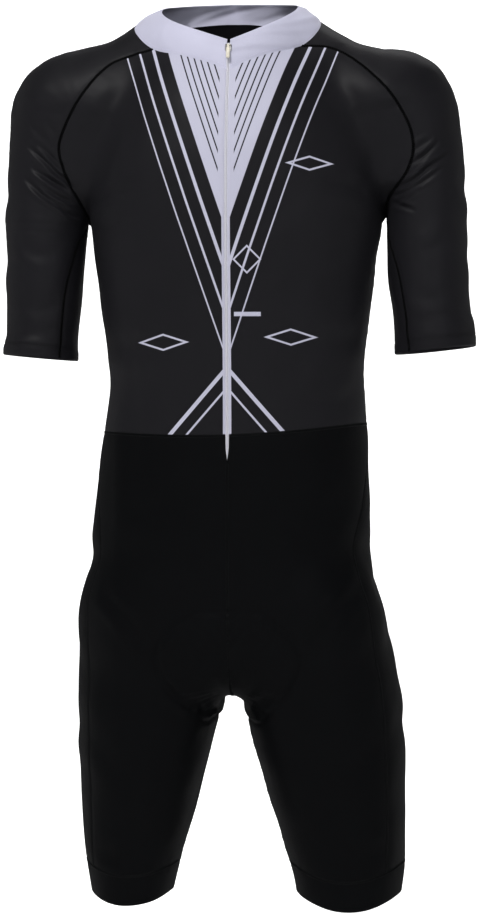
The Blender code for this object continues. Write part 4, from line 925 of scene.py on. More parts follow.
def sleeve_grid(side, lines, fine):
    """Fine grid of a sleeve; its underarm seam and hem join the side's fine runs."""
    sign = SIGN[side]
    outer_z, inner_z = (z * MM for z in SLEEVE_HEM[side])
    links = ARM_CHAINS[side]
    middle_z = (outer_z + inner_z) / 2
    low = links[np.argmin(abs(links[:, 2] - middle_z))]
    across = np.array([-sign * 2 * low[3], 0, inner_z - outer_z])
    across /= np.linalg.norm(across)
    start = math.radians(UNDERARM_SEAM[-1][1])
    hem = ring((low[0], low[1], middle_z), across, (0, -1, 0),
               np.linspace(start, start + 2 * math.pi, HEM_TURN + 1))
    outer_k = round(HEM_TURN * (math.pi - start) / (2 * math.pi))
    hem_front = spaced(hem[:outer_k + 1], CAP_FRONT_STEPS)
    hem_back = spaced(hem[outer_k:], CAP_BACK_STEPS)
    under = [arm_point(side, z * MM, math.radians(turn)) for z, turn in UNDERARM_SEAM[:-1]]
    under = seam(np.vstack([lines["raglan_front"][-1:], under, hem[:1]]), UNDER_STEPS)
    over = [lines["neck_side"][CAP_FRONT_STEPS]]
    first, every = OVERARM_LINKS
    for a, b in zip(links[first:-first:every], links[first + 1:1 - first:every]):
        along = b[:3] - a[:3]
        outside = np.array([sign * -along[2], 0, sign * along[0]])
        over.append(ring(a[:3], outside, (0, 1, 0), np.array([0.0]))[0])
    over = [p for p in over if p[2] > outer_z + OVERARM_END] + [hem_front[-1]]
    over = seam(np.vstack(over), OVERARM_FINE)
    level = np.argmax(over[:, 2] < lines["raglan_front"][-1][2])
    over = on_form(np.vstack([spaced(over[:level + 1], RAGLAN_STEPS)[:-1],
                              spaced(over[level:], UNDER_STEPS)]), 2)
    neck = lines["neck_side"]
    grid = np.hstack([
        stretched(joined(lines["raglan_front"], under), over,
                  neck[:CAP_FRONT_STEPS + 1], hem_front)[:, :-1],
        stretched(over, joined(lines["raglan_back"], under), neck[CAP_FRONT_STEPS:], hem_back)])
    hem = joined(hem_front, hem_back)
    fine["underarm"] = refined_run(under, ROW_FINE)
    fine["sleeve_hem"] = refined_run(hem, COLUMN_FINE)
    edges = [refined_run(joined(lines["raglan_front"], under), SLEEVE_ROW_FINE),
             refined_run(joined(lines["raglan_back"], under), SLEEVE_ROW_FINE),
             refined_run(neck, SLEEVE_COLUMN_FINE), refined_run(hem, SLEEVE_COLUMN_FINE)]
    return refined(settled(grid), *edges, SLEEVE_ROW_FINE, SLEEVE_COLUMN_FINE)


# ---- relief of the cloth --------------------------------------------------------------

def near_path(points, path):
    """Distance to a path, place along it, and which side of it the point lies on."""
    start, along = path[:-1], np.diff(path, axis=0)
    length = np.linalg.norm(along, axis=1)
    offset = points[:, None] - start[None]
    t = np.clip((offset * along).sum(2) / length ** 2, 0, 1)
    foot = offset - t[..., None] * along
    gap = (foot ** 2).sum(2)
    best = gap.argmin(1)
    row = np.arange(len(points))
    facing = np.cross(along / length[:, None], outward(start + along / 2))
    place = np.concatenate([[0], np.cumsum(length)])[best] + t[row, best] * length[best]
    return np.sqrt(gap[row, best]), place, (foot[row, best] * facing[best]).sum(1), length.sum()


def close_to(points, path, reach):
    low, high = path.min(0) - reach, path.max(0) + reach
    return ((points > low) & (points < high)).all(1)


def laid_path(face, spots):
    """Given spots on the front, the back or a side, joined along the form."""
    axis, sign = {"front": (1, -1), "back": (1, 1), "right": (0, -1), "left": (0, 1)}[face]
    starts = np.zeros((len(spots), 3))
    for row, (a, z) in zip(starts, spots):
        row[axis] = sign * FAR_OUT
        row[1 - axis] = a * MM
        row[2] = z * MM
    heading = np.zeros(3)
    heading[axis] = -sign
    return on_form(curve_through(cast(starts, heading), CREASE_STEPS), 1)


def crease_relief(points, creases):
    """Soft grooves with a fuller roll on one side, fading out at both ends."""
    height = np.zeros(len(points))
    for path, width, depth in creases:
        near = close_to(points, path, CREASE_REACH * width)
        if not near.any():
            continue
        gap, place, side, total = near_path(points[near], path)
        taper = np.sin(math.pi * np.clip(place / total, 0, 1)) ** CREASE_TAPER
        side = np.clip(side, -gap, gap)
        groove = -np.exp(-(gap / width) ** 2)
        roll = sum(share * np.exp(-((side - middle * width) / (spread * width)) ** 2)
                   for middle, spread, share in CREASE_ROLLS)
        fade = np.exp(-(np.maximum(gap - CREASE_FADE * width, 0) / width) ** 2)
        height[near] += depth * taper * (groove + roll * fade)
    return height


def seam_relief(points, runs):
    """Each seam draws the cloth in a little and puckers it unevenly."""
    least, extra, span = PUCKER_SWELL
    height = np.zeros(len(points))
    for k, run in enumerate(runs):
        near = close_to(points, run, SEAM_REACH)
        if not near.any():
            continue
        gap, place, _, _ = near_path(points[near], run[::3])
        ripple = np.sin(place / PUCKER * 2 * math.pi + k)
        ripple *= least + extra * np.sin(place / (span * PUCKER) * 2 * math.pi + 2 * k)
        height[near] += (-SEAM_VALLEY * np.exp(-(gap / SEAM_VALLEY_WIDTH) ** 2)
                         + PUCKER_HEIGHT * ripple * np.exp(-gap / PUCKER_REACH))
    return height


def hem_relief(points, hems):
    """Turned hem: a double layer up to its stitch line, which draws in."""
    height = np.zeros(len(points))
    for run, depth in hems:
        near = close_to(points, run, 3 * depth)
        if not near.any():
            continue
        gap = near_path(points[near], run[::2])[0]
        height[near] += (HEM_STEP * ease((depth - gap) / HEM_STEP_WIDTH + 0.5)
                         - HEM_GROOVE * np.exp(-((gap - depth) / HEM_GROOVE_WIDTH) ** 2))
    return height


def tree_of(points):
    tree = kdtree.KDTree(len(points))
    for k, point in enumerate(points):
        tree.insert(point, k)
    tree.balance()
    return tree


def pad_lift(points, tree):
    """The pad behind the cloth lifts it, with a soft line round its edge."""
    lowest, highest, widest = PAD_NEAR
    near = (points[:, 2] > lowest) & (points[:, 2] < highest) & (abs(points[:, 0]) < widest)
    height = np.zeros(len(points))
    gap = np.array([tree.find(p)[2] for p in points[near]])
    if not len(gap):
        return height
    direct = CLOTH + SEAT_PAD_CLEAR
    edge = np.sqrt(np.maximum(gap ** 2 - direct ** 2, 0))
    height[near] = PAD_LIFT * (1 - ease((edge - PAD_FALL[0]) / PAD_FALL[1]))
    for place, width, share in PAD_RIMS:
        height[near] += PAD_GROOVE * share * np.exp(-((edge - place) / width) ** 2)
    return height


def waves(points):
    """Broad unevenness of worn cloth."""
    height = np.zeros(len(points))
    for x, y, z, length, phase, size in WAVES:
        heading = np.array([x, y, z]) * 2 * math.pi / (length * MM)
        height += size * MM * np.sin(points @ heading + phase)
    return height


def relief(points):
    """Height of the finished cloth over the form, at points of any shape."""
    flat = points.reshape(-1, 3)
    height = waves(flat)
    height += crease_relief(flat, CREASES)
    height += seam_relief(flat, SEAM_RUNS)
    height += hem_relief(flat, HEMS)
    height += pad_lift(flat, PAD_TREE)
    calm = ease((abs(flat[:, 0]) - ZIP_CALM[0]) / ZIP_CALM[1])
    front_zip = (flat[:, 1] < 0) & (flat[:, 2] > WAIST - ZIP_BELOW_WAIST)
    height = np.where(front_zip, height * calm, height)
    return height.reshape(points.shape[:-1])


def surface(points, lift=0.0):
    """Points on the finished cloth, or lifted off it."""
    laid = on_form(points, 2)
    return laid + outward(laid) * (relief(laid) + lift)[..., None]


# ---- grids of the cloth pieces ----------------------------------------------------------

def front_edges(part):
    return (part["centre_front"], joined(part["raglan_front"], part["side"]),
            part["neck_front"], part["waist_front"])


def shorts_front_edges(part):
    return (joined(part["rise_front"], part["inseam"]), part["shorts_side"],
            part["waist_front"], part["band_front"])


def shorts_back_edges(part):
    return (joined(part["rise_back"], part["inseam"]), part["shorts_side"],
            part["waist_back"], part["band_back"])


def back_edges(parts):
    right, left = parts["right"], parts["left"]
    return (joined(right["raglan_back"], right["side"]), joined(left["raglan_back"], left["side"]),
            joined(right["neck_back"], left["neck_back"][::-1]),
            joined(right["waist_back"][::-1], left["waist_back"]))


def panel_grid(coarse, fine):
    return refined(settled(stretched(*coarse)), *fine)


def band_grid(side, part):
    """Leg band from its seam to the hem, closed at the inseam."""
    top = joined(part["band_front"], part["band_back"][::-1])
    front, back, _ = band_seam(side, 0)
    bottom = joined(refined_run(front, COLUMN_FINE), refined_run(back, COLUMN_FINE)[::-1])
    v = np.linspace(0, 1, BAND_ROWS + 1)[:, None, None]
    return on_form(top * (1 - v) + bottom * v)


def cloth_grids(lines, fine):
    """Fine grids on the form of every piece but the collar."""
    grids = {"back": panel_grid(back_edges(lines), back_edges(fine))}
    for side in SIDES:
        coarse, part = lines[side], fine[side]
        grids[f"front_{side}"] = panel_grid(front_edges(coarse), front_edges(part))
        grids[f"shorts_front_{side}"] = panel_grid(shorts_front_edges(coarse),
                                                   shorts_front_edges(part))
        grids[f"shorts_back_{side}"] = panel_grid(shorts_back_edges(coarse),
                                                  shorts_back_edges(part))
        grids[f"sleeve_{side}"] = sleeve_grid(side, coarse, part)
        grids[f"leg_band_{side}"] = band_grid(side, part)
    return grids


def pad_points(lines):
    """Outer face of the seat pad, marched out to both sides of the rise."""
    right = lines["right"]
    rise = np.vstack([right["rise_front"], right["rise_back"][-2::-1]])
    rise[:, 0] = 0
    level = -CLOTH - SEAT_PAD_CLEAR
    rise = on_form(rise[SLOT_STEPS:-SLOT_STEPS], level=level)
    table = np.array(SEAT_PAD) * MM
    fine = spaced(rise, PAD_LINE_STEPS)
    run = fine[np.argmax(fine[:, 2] < SEAT_PAD_TOP):]
    wanted = np.linspace(0, table[-1, 0], PAD_ROWS)
    middle = at_lengths(wanted, run_lengths(run), run)
    half = np.interp(wanted, table[:, 0], table[:, 1])
    columns = {0: middle}
    for sign in (1, -1):
        points, heading = middle.copy(), np.tile([sign * 1.0, 0, 0], (PAD_ROWS, 1))
        for k in range(1, PAD_HALF_COLUMNS + 1):
            moved = on_form(points + heading * (half / PAD_HALF_COLUMNS)[:, None], level=level)
            heading = unit(moved - points)
            points = moved
            columns[sign * k] = moved
    outer = np.stack([columns[k] for k in sorted(columns)], axis=1)
    return both_ways(outer, PAD_FINE)


def both_ways(grid, fine):
    """A grid with fine steps in both directions."""
    rows, columns = grid.shape[:2]
    grid = curve_through(grid.reshape(rows, -1), fine).reshape(-1, columns, 3)
    grid = grid.transpose(1, 0, 2).reshape(columns, -1)
    grid = curve_through(grid, fine)
    return grid.reshape(len(grid), -1, 3).transpose(1, 0, 2)


# ---- meshes -----------------------------------------------------------------------------

def add_mesh(name, points, faces, material, uv=None):
    mesh = bpy.data.meshes.new(name)
    mesh.from_pydata(points.tolist(), [], faces)
    if uv is not None:
        corner = np.zeros(len(mesh.loops), int)
        mesh.loops.foreach_get("vertex_index", corner)
        layer = mesh.uv_layers.new(name=WEAVE_MAP)
        layer.data.foreach_set("uv", uv[corner].ravel())
    mesh.polygons.foreach_set("use_smooth", [True] * len(mesh.polygons))
    mesh.set_sharp_from_angle(angle=SHARP)
    mesh.materials.append(material)
    item = bpy.data.objects.new(name, mesh)
    bpy.context.scene.collection.objects.link(item)
    return item


def lengths_along(grid, axis):
    step = np.linalg.norm(np.diff(grid, axis=axis), axis=2)
    zero = np.zeros_like(np.take(step, [0], axis=axis))
    return np.concatenate([zero, np.cumsum(step, axis=axis)], axis=axis)


def shell(name, outer, inner, material, free=()):
    """Closed thin shell between two grids, its free edges rounded."""
    rows, columns = outer.shape[:2]
    number = np.arange(rows * columns).reshape(rows, columns)
    back = rows * columns
    faces = quads_of(number[:, :-1], number[:, 1:])
    faces = np.vstack([faces, faces[:, ::-1] + back])
    run = np.concatenate([number[0], number[1:, -1], number[-1, -2::-1], number[-2:0:-1, 0]])
    away = {"top": outer[:1] - outer[1:2], "bottom": outer[-1:] - outer[-2:-1],
            "start": outer[:, :1] - outer[:, 1:2], "end": outer[:, -1:] - outer[:, -2:-1]}
    push = np.zeros_like(outer)
    spot = {"top": (slice(0, 1), slice(None)), "bottom": (slice(-1, None), slice(None)),
            "start": (slice(None), slice(0, 1)), "end": (slice(None), slice(-1, None))}
    for edge in free:
        wall = np.linalg.norm(outer - inner, axis=2)[..., None]
        push[spot[edge]] += unit(away[edge]) * wall[spot[edge]] * RIM_BULGE
    middle = ((outer + inner) / 2 + push).reshape(-1, 3)[run]
    rim = 2 * back + np.arange(len(run))
    after, rim_after = np.roll(run, -1), np.roll(rim, -1)
    faces = faces.tolist()
    faces += np.stack([after, run, rim, rim_after], axis=1).tolist()
    faces += np.stack([rim_after, rim, run + back, after + back], axis=1).tolist()
    points = np.vstack([outer.reshape(-1, 3), inner.reshape(-1, 3), middle])
    p, q, r = outer[0, 0], outer[0, 1], outer[1, 0]
    if np.dot(np.cross(q - p, r - p), p - inner[0, 0]) < 0:
        faces = [face[::-1] for face in faces]
    uv = np.stack([lengths_along(outer, 1), lengths_along(outer, 0)], axis=2).reshape(-1, 2)
    uv = np.vstack([uv, uv, uv[run]])
    return add_mesh(name, points, faces, material, uv)


def quads_of(number, after):
    """Faces between a grid's rows, from each column to the one after it."""
    return np.stack([number[:-1], after[:-1], after[1:], number[1:]], axis=2).reshape(-1, 4)


def tubes(paths, normals, radius, sides=4):
    """Points and faces of thin tubes along paths of equal count."""
    along = np.gradient(paths, axis=1)
    side = unit(np.cross(along, normals))
    count, steps = paths.shape[:2]
    turn = np.arange(sides) * 2 * math.pi / sides
    points = (paths[:, :, None] + radius * (np.cos(turn)[:, None] * side[:, :, None]
                                            + np.sin(turn)[:, None] * normals[:, :, None]))
    number = np.arange(count * steps * sides).reshape(count, steps, sides)
    after = np.roll(number, -1, axis=2)
    quads = np.stack([number[:, :-1], after[:, :-1], after[:, 1:], number[:, 1:]], axis=3)
    caps = np.concatenate([number[:, 0, ::-1], number[:, -1]])
    return points.reshape(-1, 3), quads.reshape(-1, 4).tolist() + caps.tolist()


def merged(name, parts, material):
    """One mesh of several lists of points and faces."""
    points, faces, count = [], [], 0
    for some, theirs in parts:
        points.append(some)
        faces += [[v + count for v in face] for face in theirs]
        count += len(some)
    return add_mesh(name, np.vstack(points), faces, material)


# ---- sewing -----------------------------------------------------------------------------

def resampled(points, normals, step):
    """Points and normals of a line at even steps."""
    lengths = run_lengths(points)
    wanted = np.linspace(0, lengths[-1], max(2, round(lengths[-1] / step) + 1))
    return at_lengths(wanted, lengths, points), unit(at_lengths(wanted, lengths, normals))


def aside(points, normals, offset):
    """Points moved to the side of a line, in the cloth."""
    side = unit(np.cross(np.gradient(points, axis=0), normals))
    return points + side * np.reshape(offset, (-1, 1))


def seam_lines(path):
    """A seam's even points on the form, with their normals."""
    return resampled(path, outward(path), RIBBON_STEP)


def ribbon(path, profile):
    """Low pillow of a flatlock seam over the cloth, as points and faces."""
    points, normals = seam_lines(path)
    across = [surface(aside(points, normals, offset), lift) for offset, lift in profile]
    grid = np.stack(across, axis=1)
    rows, columns = grid.shape[:2]
    number = np.arange(rows * columns).reshape(rows, columns)
    faces = quads_of(number[:, :-1], number[:, 1:])
    normal = np.cross(grid[0, 1] - grid[0, 0], grid[1, 0] - grid[0, 0])
    if np.dot(normal, normals[0]) < 0:
        faces = faces[:, ::-1]
    return grid.reshape(-1, 3), faces.tolist()


def zigzag(path):
    """Looper thread that crosses a flatlock seam from side to side."""
    points, normals = resampled(path, outward(path), ZIGZAG_STEP)
    swing = np.where(np.arange(len(points)) % 2 == 0, ZIGZAG_HALF, -ZIGZAG_HALF)
    laid = surface(aside(points, normals, swing), THREAD_LIFT)
    return tubes(laid[None], normals[None], THREAD)


def dashes(points, normals, lift=0.0):
    """A row of needle stitches on a line of the finished cloth."""
    points, normals = resampled(points, normals, STITCH / 4)
    count = (len(points) - 1) // 4
    pick = np.arange(count)[:, None] * 4 + np.arange(4)[None, :STITCH_POINTS]
    rise = np.array(STITCH_RISE)[None, :, None] + lift
    return tubes(points[pick] + normals[pick] * rise, normals[pick], THREAD)


def needle_rows(path, offsets):
    """Rows of needle stitches beside a line of the form."""
    points, normals = seam_lines(path)
    return [dashes(surface(aside(points, normals, offset)), normals, RIBBON_TOP)
            for offset in offsets]


def level_line(grid, distance):
    """Line of a grid at a distance from its last row, column by column."""
    up = grid[::-1]
    gone = lengths_along(up, 0)
    columns = [[np.interp(distance, gone[:, j], up[:, j, k]) for k in range(3)]
               for j in range(grid.shape[1])]
    return np.array(columns)


def sew(name, paths, ground, thread):
    """Flatlock seams: the low pillow, the looper thread and two rows of needle stitches."""
    pillow = merged(f"{name}_flatlock", [ribbon(path, RIBBON_PROFILE) for path in paths], ground)
    parts = [zigzag(path) for path in paths]
    for path in paths:
        parts += needle_rows(path, NEEDLES)
    return [pillow, merged(f"{name}_stitches", parts, thread)]


# ---- collar, zip and pad ----------------------------------------------------------------

def collar_points(fine):
    """Fine grid of the collar, from its top edge to the neck seam, and its normals."""
    base, top = [], []
    for side, table in (("right", COLLAR_RIGHT), ("left", COLLAR_LEFT)):
        part = fine[side]
        edge = curve_through(table_points(table), NECK_FINE)
        over = joined(spaced(edge[:NECK_FINE + 1], FRONT_STEPS),
                      spaced(edge[NECK_FINE:3 * NECK_FINE + 1], CAP_FRONT_STEPS + CAP_BACK_STEPS),
                      spaced(edge[3 * NECK_FINE:], HALF_BACK_STEPS))
        base.append(joined(part["neck_front"], part["neck_side"], part["neck_back"]))
        top.append(over)
    base = joined(base[0], base[1][::-1])
    top = curve_through(joined(top[0], top[1][::-1]), COLUMN_FINE)
    v = np.linspace(0, 1, COLLAR_ROWS + 1)[:, None, None]
    grid = top * (1 - v) + base * v
    normal = unit(np.cross(np.gradient(grid, axis=1), np.gradient(grid, axis=0)))
    if (normal * (grid - grid.mean(axis=(0, 1)))).sum() < 0:
        normal = -normal
    arch = 4 * v * (1 - v)
    grid = grid + normal * COLLAR_BULGE * arch
    grid = grid + outward(base) * relief(base)[:, None] * v ** COLLAR_SEWN_POWER
    place = lengths_along(grid, 1)
    soft = sum(size * np.sin(place / length * 2 * math.pi + phase)
               for length, phase, size in COLLAR_WAVES)
    return grid + normal * soft[..., None] * arch, normal


def beside_opening(grid, normals, wall, first):
    """Strip of points behind the cloth beside the zip, from the opening to the tape's edge."""
    wanted = np.linspace(0, 1, TAPE_COLUMNS)
    near = grid if first else grid[:, ::-1]
    facing = normals if first else normals[:, ::-1]
    gone = lengths_along(near, 1)
    rows = []
    for i in range(len(near)):
        at = wanted * (TAPE_HALF - ZIP_OPENING / 2)
        point = [np.interp(at, gone[i], near[i, :, k]) for k in range(3)]
        normal = [np.interp(at, gone[i], facing[i, :, k]) for k in range(3)]
        rows.append(np.stack(point, axis=1) - np.stack(normal, axis=1) * wall)
    return np.array(rows)


def zip_rows(grids, normals, collar, collar_normal):
    """Rows of the two tape halves from the collar's top to the end of the slot."""
    slot = SLOT_STEPS * ROW_FINE
    right, left = [], []
    wall = SHELL + TAPE_CLEAR
    strips = [beside_opening(collar, collar_normal, wall, first)[:-1] for first in (True, False)]
    right.append(strips[0])
    left.append(strips[1])
    for piece, keep in (("front", slice(0, -1)), ("shorts_front", slice(0, slot + 1))):
        for side, into in (("right", right), ("left", left)):
            name = f"{piece}_{side}"
            strip = beside_opening(grids[name], normals[name], wall, True)
            into.append(strip[keep])
    return np.vstack(right), np.vstack(left)


def zip_tape(right, left, tape_material, coil_material):
    """Woven tape behind the opening, and the closed coil that shows in it."""
    keep = slice(TAPE_TOP_ROWS, -TAPE_END_ROWS)
    right, left = right[keep], left[keep]
    front = np.hstack([right[:, :0:-1], (right[:, :1] + left[:, :1]) / 2, left[:, 1:]])
    normal = unit(np.cross(np.gradient(front, axis=1), np.gradient(front, axis=0)))
    if normal[..., 1].sum() > 0:
        normal = -normal
    tape = shell("zip_tape_woven", front, front - normal * TAPE_SHELL, tape_material,
                 ("top", "bottom", "start", "end"))
    middle = (right[:, 0] + left[:, 0]) / 2
    opening = np.linalg.norm(left[:, 0] - right[:, 0], axis=1)
    across = left[:, 0] - right[:, 0]
    centre = normal[:, normal.shape[1] // 2]
    lengths = run_lengths(middle)
    wanted = np.arange(COIL_PITCH, lengths[-1] - COIL_PITCH, COIL_PITCH / 2)
    place, out, over = (at_lengths(wanted, lengths, v) for v in (middle, centre, across))
    over = unit(over)
    width = np.interp(wanted, lengths, opening)
    sign = np.where(np.arange(len(wanted)) % 2 == 0, 1, -1)[:, None]
    half = np.clip(width / 2 - CHAIN_CLEAR, COIL_LEAST, COIL_HALF)[:, None]
    paths = np.stack([place + over * sign * half * share + out * lift
                      for share, lift in COIL_SHAPE], axis=1)
    normals = np.repeat(out[:, None], len(COIL_SHAPE), axis=1)
    parts = [tubes(paths, normals, COIL_WIRE, COIL_SIDES)]
    for offset in (-1, 1):
        line = place + over * offset * half + out * COIL_CORD_LIFT
        parts.append(tubes(line[None], out[None], COIL_CORD, COIL_SIDES))
    coil = merged("zip_tape_coil", parts, coil_material)
    return tape, coil


def seat_pad(outer, material):
    """Foam pad: thick in the middle, sewn down at its edge and along its channels."""
    rows, columns = outer.shape[:2]
    v = np.linspace(-1, 1, rows)[:, None]
    u = np.linspace(-1, 1, columns)[None]
    edge = ease((1 - np.maximum(abs(u), abs(v))) / SEAT_PAD_SLOPE)
    thick = SEAT_PAD_EDGE + (SEAT_PAD_THICK - SEAT_PAD_EDGE) * edge
    for place, width, depth in PAD_CHANNELS:
        thick = thick - depth * edge * np.exp(-((abs(u) - place) / width) ** 2)
    for place, width, depth in PAD_CROSSINGS:
        thick = thick - depth * edge * np.exp(-((v - place) / width) ** 2)
    normal = outward(outer)
    inner = outer - normal * thick[..., None]
    pad = shell("seat_pad_foam", outer, inner, material, ("top", "bottom", "start", "end"))
    rim = joined(inner[2, 2:-2], inner[2:-2, -3], inner[-3, 2:-2][::-1], inner[2:-2, 2][::-1])
    facing = -joined(normal[2, 2:-2], normal[2:-2, -3], normal[-3, 2:-2][::-1],
                     normal[2:-2, 2][::-1])
    return pad, rim, facing


def rounded_copy(name, node, material, bevel):
    """Copy of a rigid CAD node with soft edges."""
    item = frame["nodes"][node].copy()
    item.data = item.data.copy()
    item.name = name
    item.parent = None
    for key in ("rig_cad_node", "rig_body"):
        if key in item:
            del item[key]
    bpy.context.scene.collection.objects.link(item)
    work = bmesh.new()
    work.from_mesh(item.data)
    bmesh.ops.remove_doubles(work, verts=work.verts, dist=WELD)
    bmesh.ops.dissolve_limit(work, angle_limit=FLAT_ANGLE, verts=work.verts, edges=work.edges)
    sharp = [e for e in work.edges if len(e.link_faces) == 2
             and e.calc_face_angle(0) > BEVEL_ANGLE]
    bmesh.ops.bevel(work, geom=sharp, offset=bevel, segments=2, affect="EDGES",
                    clamp_overlap=True)
    work.to_mesh(item.data)
    work.free()
    item.data.materials.clear()
    item.data.materials.append(material)
    item.data.polygons.foreach_set("use_smooth", [True] * len(item.data.polygons))
    item.data.set_sharp_from_angle(angle=SHARP)
    return item


# ---- materials --------------------------------------------------------------------------

def new_node(tree, kind, values=(), **settings):
    """A shader node with settings, and its inputs set or linked by name or number."""
    made = tree.nodes.new(kind)
    for key, value in settings.items():
        setattr(made, key, value)
    for key, value in dict(values).items():
        if isinstance(value, bpy.types.NodeSocket):
            tree.links.new(value, made.inputs[key])
        else:
            made.inputs[key].default_value = value
    return made


def calc(tree, operation, *values, clamp=False):
    return new_node(tree, "ShaderNodeMath", enumerate(values), operation=operation,
                    use_clamp=clamp).outputs[0]


def blank(name, roughness, specular=0.5, sheen=0.0, metallic=0.0):
    """A material with its even values set on the shader's own sockets."""
    material = bpy.data.materials.new(name)
    material.use_nodes = True
    tree = material.node_tree
    shader = tree.nodes["Principled BSDF"]
    shader.inputs["Roughness"].default_value = roughness
    shader.inputs["Specular IOR Level"].default_value = specular
    shader.inputs["Sheen Weight"].default_value = sheen
    shader.inputs["Sheen Roughness"].default_value = 0.45
    shader.inputs["Metallic"].default_value = metallic
    return material, tree, shader


def object_place(tree):
    return new_node(tree, "ShaderNodeTexCoord").outputs["Object"]


def paint(tree, shader, colour):
    tree.links.new(colour, shader.inputs["Base Color"])


def ranged(tree, value, low, high):
    """A value from 0 to 1 spread from low to high."""
    return new_node(tree, "ShaderNodeMapRange",
                    {"Value": value, "To Min": low, "To Max": high}).outputs[0]


def bumped(tree, shader, *bumps):
    """Bumps on a shader, one on the other: height, strength, distance."""
    normal = {}
    for height, strength, distance in bumps:
        bump = new_node(tree, "ShaderNodeBump", {"Height": height, "Strength": strength,
                                                 "Distance": distance, **normal})
        normal = {"Normal": bump.outputs[0]}
    tree.links.new(normal["Normal"], shader.inputs["Normal"])


def noise(tree, place, scale, detail=2.0):
    return new_node(tree, "ShaderNodeTexNoise",
                    {"Vector": place, "Scale": scale, "Detail": detail}).outputs["Fac"]


def mixed(tree, share, a, b):
    """Colour between two colours."""
    mix = new_node(tree, "ShaderNodeMix", data_type="RGBA")
    for socket, value in zip((mix.inputs[0], mix.inputs[6], mix.inputs[7]), (share, a, b)):
        if isinstance(value, bpy.types.NodeSocket):
            tree.links.new(value, socket)
        else:
            socket.default_value = value
    return mix.outputs[2]


def shade(colour, factor):
    return (*(c * factor for c in colour), 1.0)


def knit_height(tree, wale, course):
    """Height of the knit: rows of small loops across and along the cloth."""
    weave = new_node(tree, "ShaderNodeUVMap", uv_map=WEAVE_MAP).outputs["UV"]
    rows = [new_node(tree, "ShaderNodeTexWave",
                     {"Vector": weave, "Scale": math.pi / (10 * pitch), "Distortion": 0.6,
                      "Detail": 1.0, "Detail Scale": 2.0},
                     wave_type="BANDS", bands_direction=direction).outputs["Fac"]
            for pitch, direction in ((wale, "X"), (course, "Y"))]
    return calc(tree, "MULTIPLY", rows[0], rows[1])


def knit(name, colour, roughness, specular, sheen, wale=0.85 * MM, course=0.6 * MM,
         painted=None):
    """Fine stretch knit: loops with painted shade in their valleys, a faint cloudiness and, on the
    fronts, the print.
    """
    material, tree, shader = blank(name, roughness, specular, sheen)
    place = object_place(tree)
    loops = knit_height(tree, wale, course)
    cloud = noise(tree, place, KNIT_CLOUD)
    ground = mixed(tree, cloud, shade(colour, 0.86), shade(colour, 1.14))
    if painted is not None:
        mask = painted(tree, place)
        ink = mixed(tree, cloud, shade(INK_WHITE, 0.96), shade(INK_WHITE, 1.03))
        ground = mixed(tree, mask, ground, ink)
    # Painted shade: the colour is darkened by a fifth in the valleys between the loops
    valley = mixed(tree, loops, (0.80, 0.80, 0.80, 1), (1, 1, 1, 1))
    valley_shaded = new_node(tree, "ShaderNodeMix", data_type="RGBA", blend_type="MULTIPLY")
    valley_shaded.inputs[0].default_value = 1.0
    tree.links.new(ground, valley_shaded.inputs[6])
    tree.links.new(valley, valley_shaded.inputs[7])
    paint(tree, shader, valley_shaded.outputs[2])
    uneven = ranged(tree, noise(tree, place, KNIT_FIBRE, 3.0), roughness - 0.05, roughness + 0.06)
    facing = new_node(tree, "ShaderNodeLayerWeight", {"Blend": 0.5}).outputs["Facing"]
    matt = calc(tree, "MULTIPLY_ADD", calc(tree, "MULTIPLY", facing, facing), EDGE_MATT, uneven)
    tree.links.new(matt, shader.inputs["Roughness"])
    bumped(tree, shader, (loops, 0.35, 0.12 * MM),
           (noise(tree, place, KNIT_FOLD, 3.0), 0.3, 1.2 * MM))
    return material


def soft_edge(tree, value):
    """1 where a distance in millimetres is positive, 0 where it is negative."""
    return calc(tree, "MULTIPLY_ADD", value, 1 / PRINT_EDGE, 0.5, clamp=True)


def band_mask(tree, value, middle, half):
    """A line where a value lies within half of its middle."""
    away = calc(tree, "ABSOLUTE", calc(tree, "SUBTRACT", value, middle))
    return soft_edge(tree, calc(tree, "SUBTRACT", half, away))


def all_of(tree, *masks):
    result = masks[0]
    for mask in masks[1:]:
        result = calc(tree, "MINIMUM", result, mask)
    return result


def any_of(tree, *masks):
    result = masks[0]
    for mask in masks[1:]:
        result = calc(tree, "MAXIMUM", result, mask)
    return result


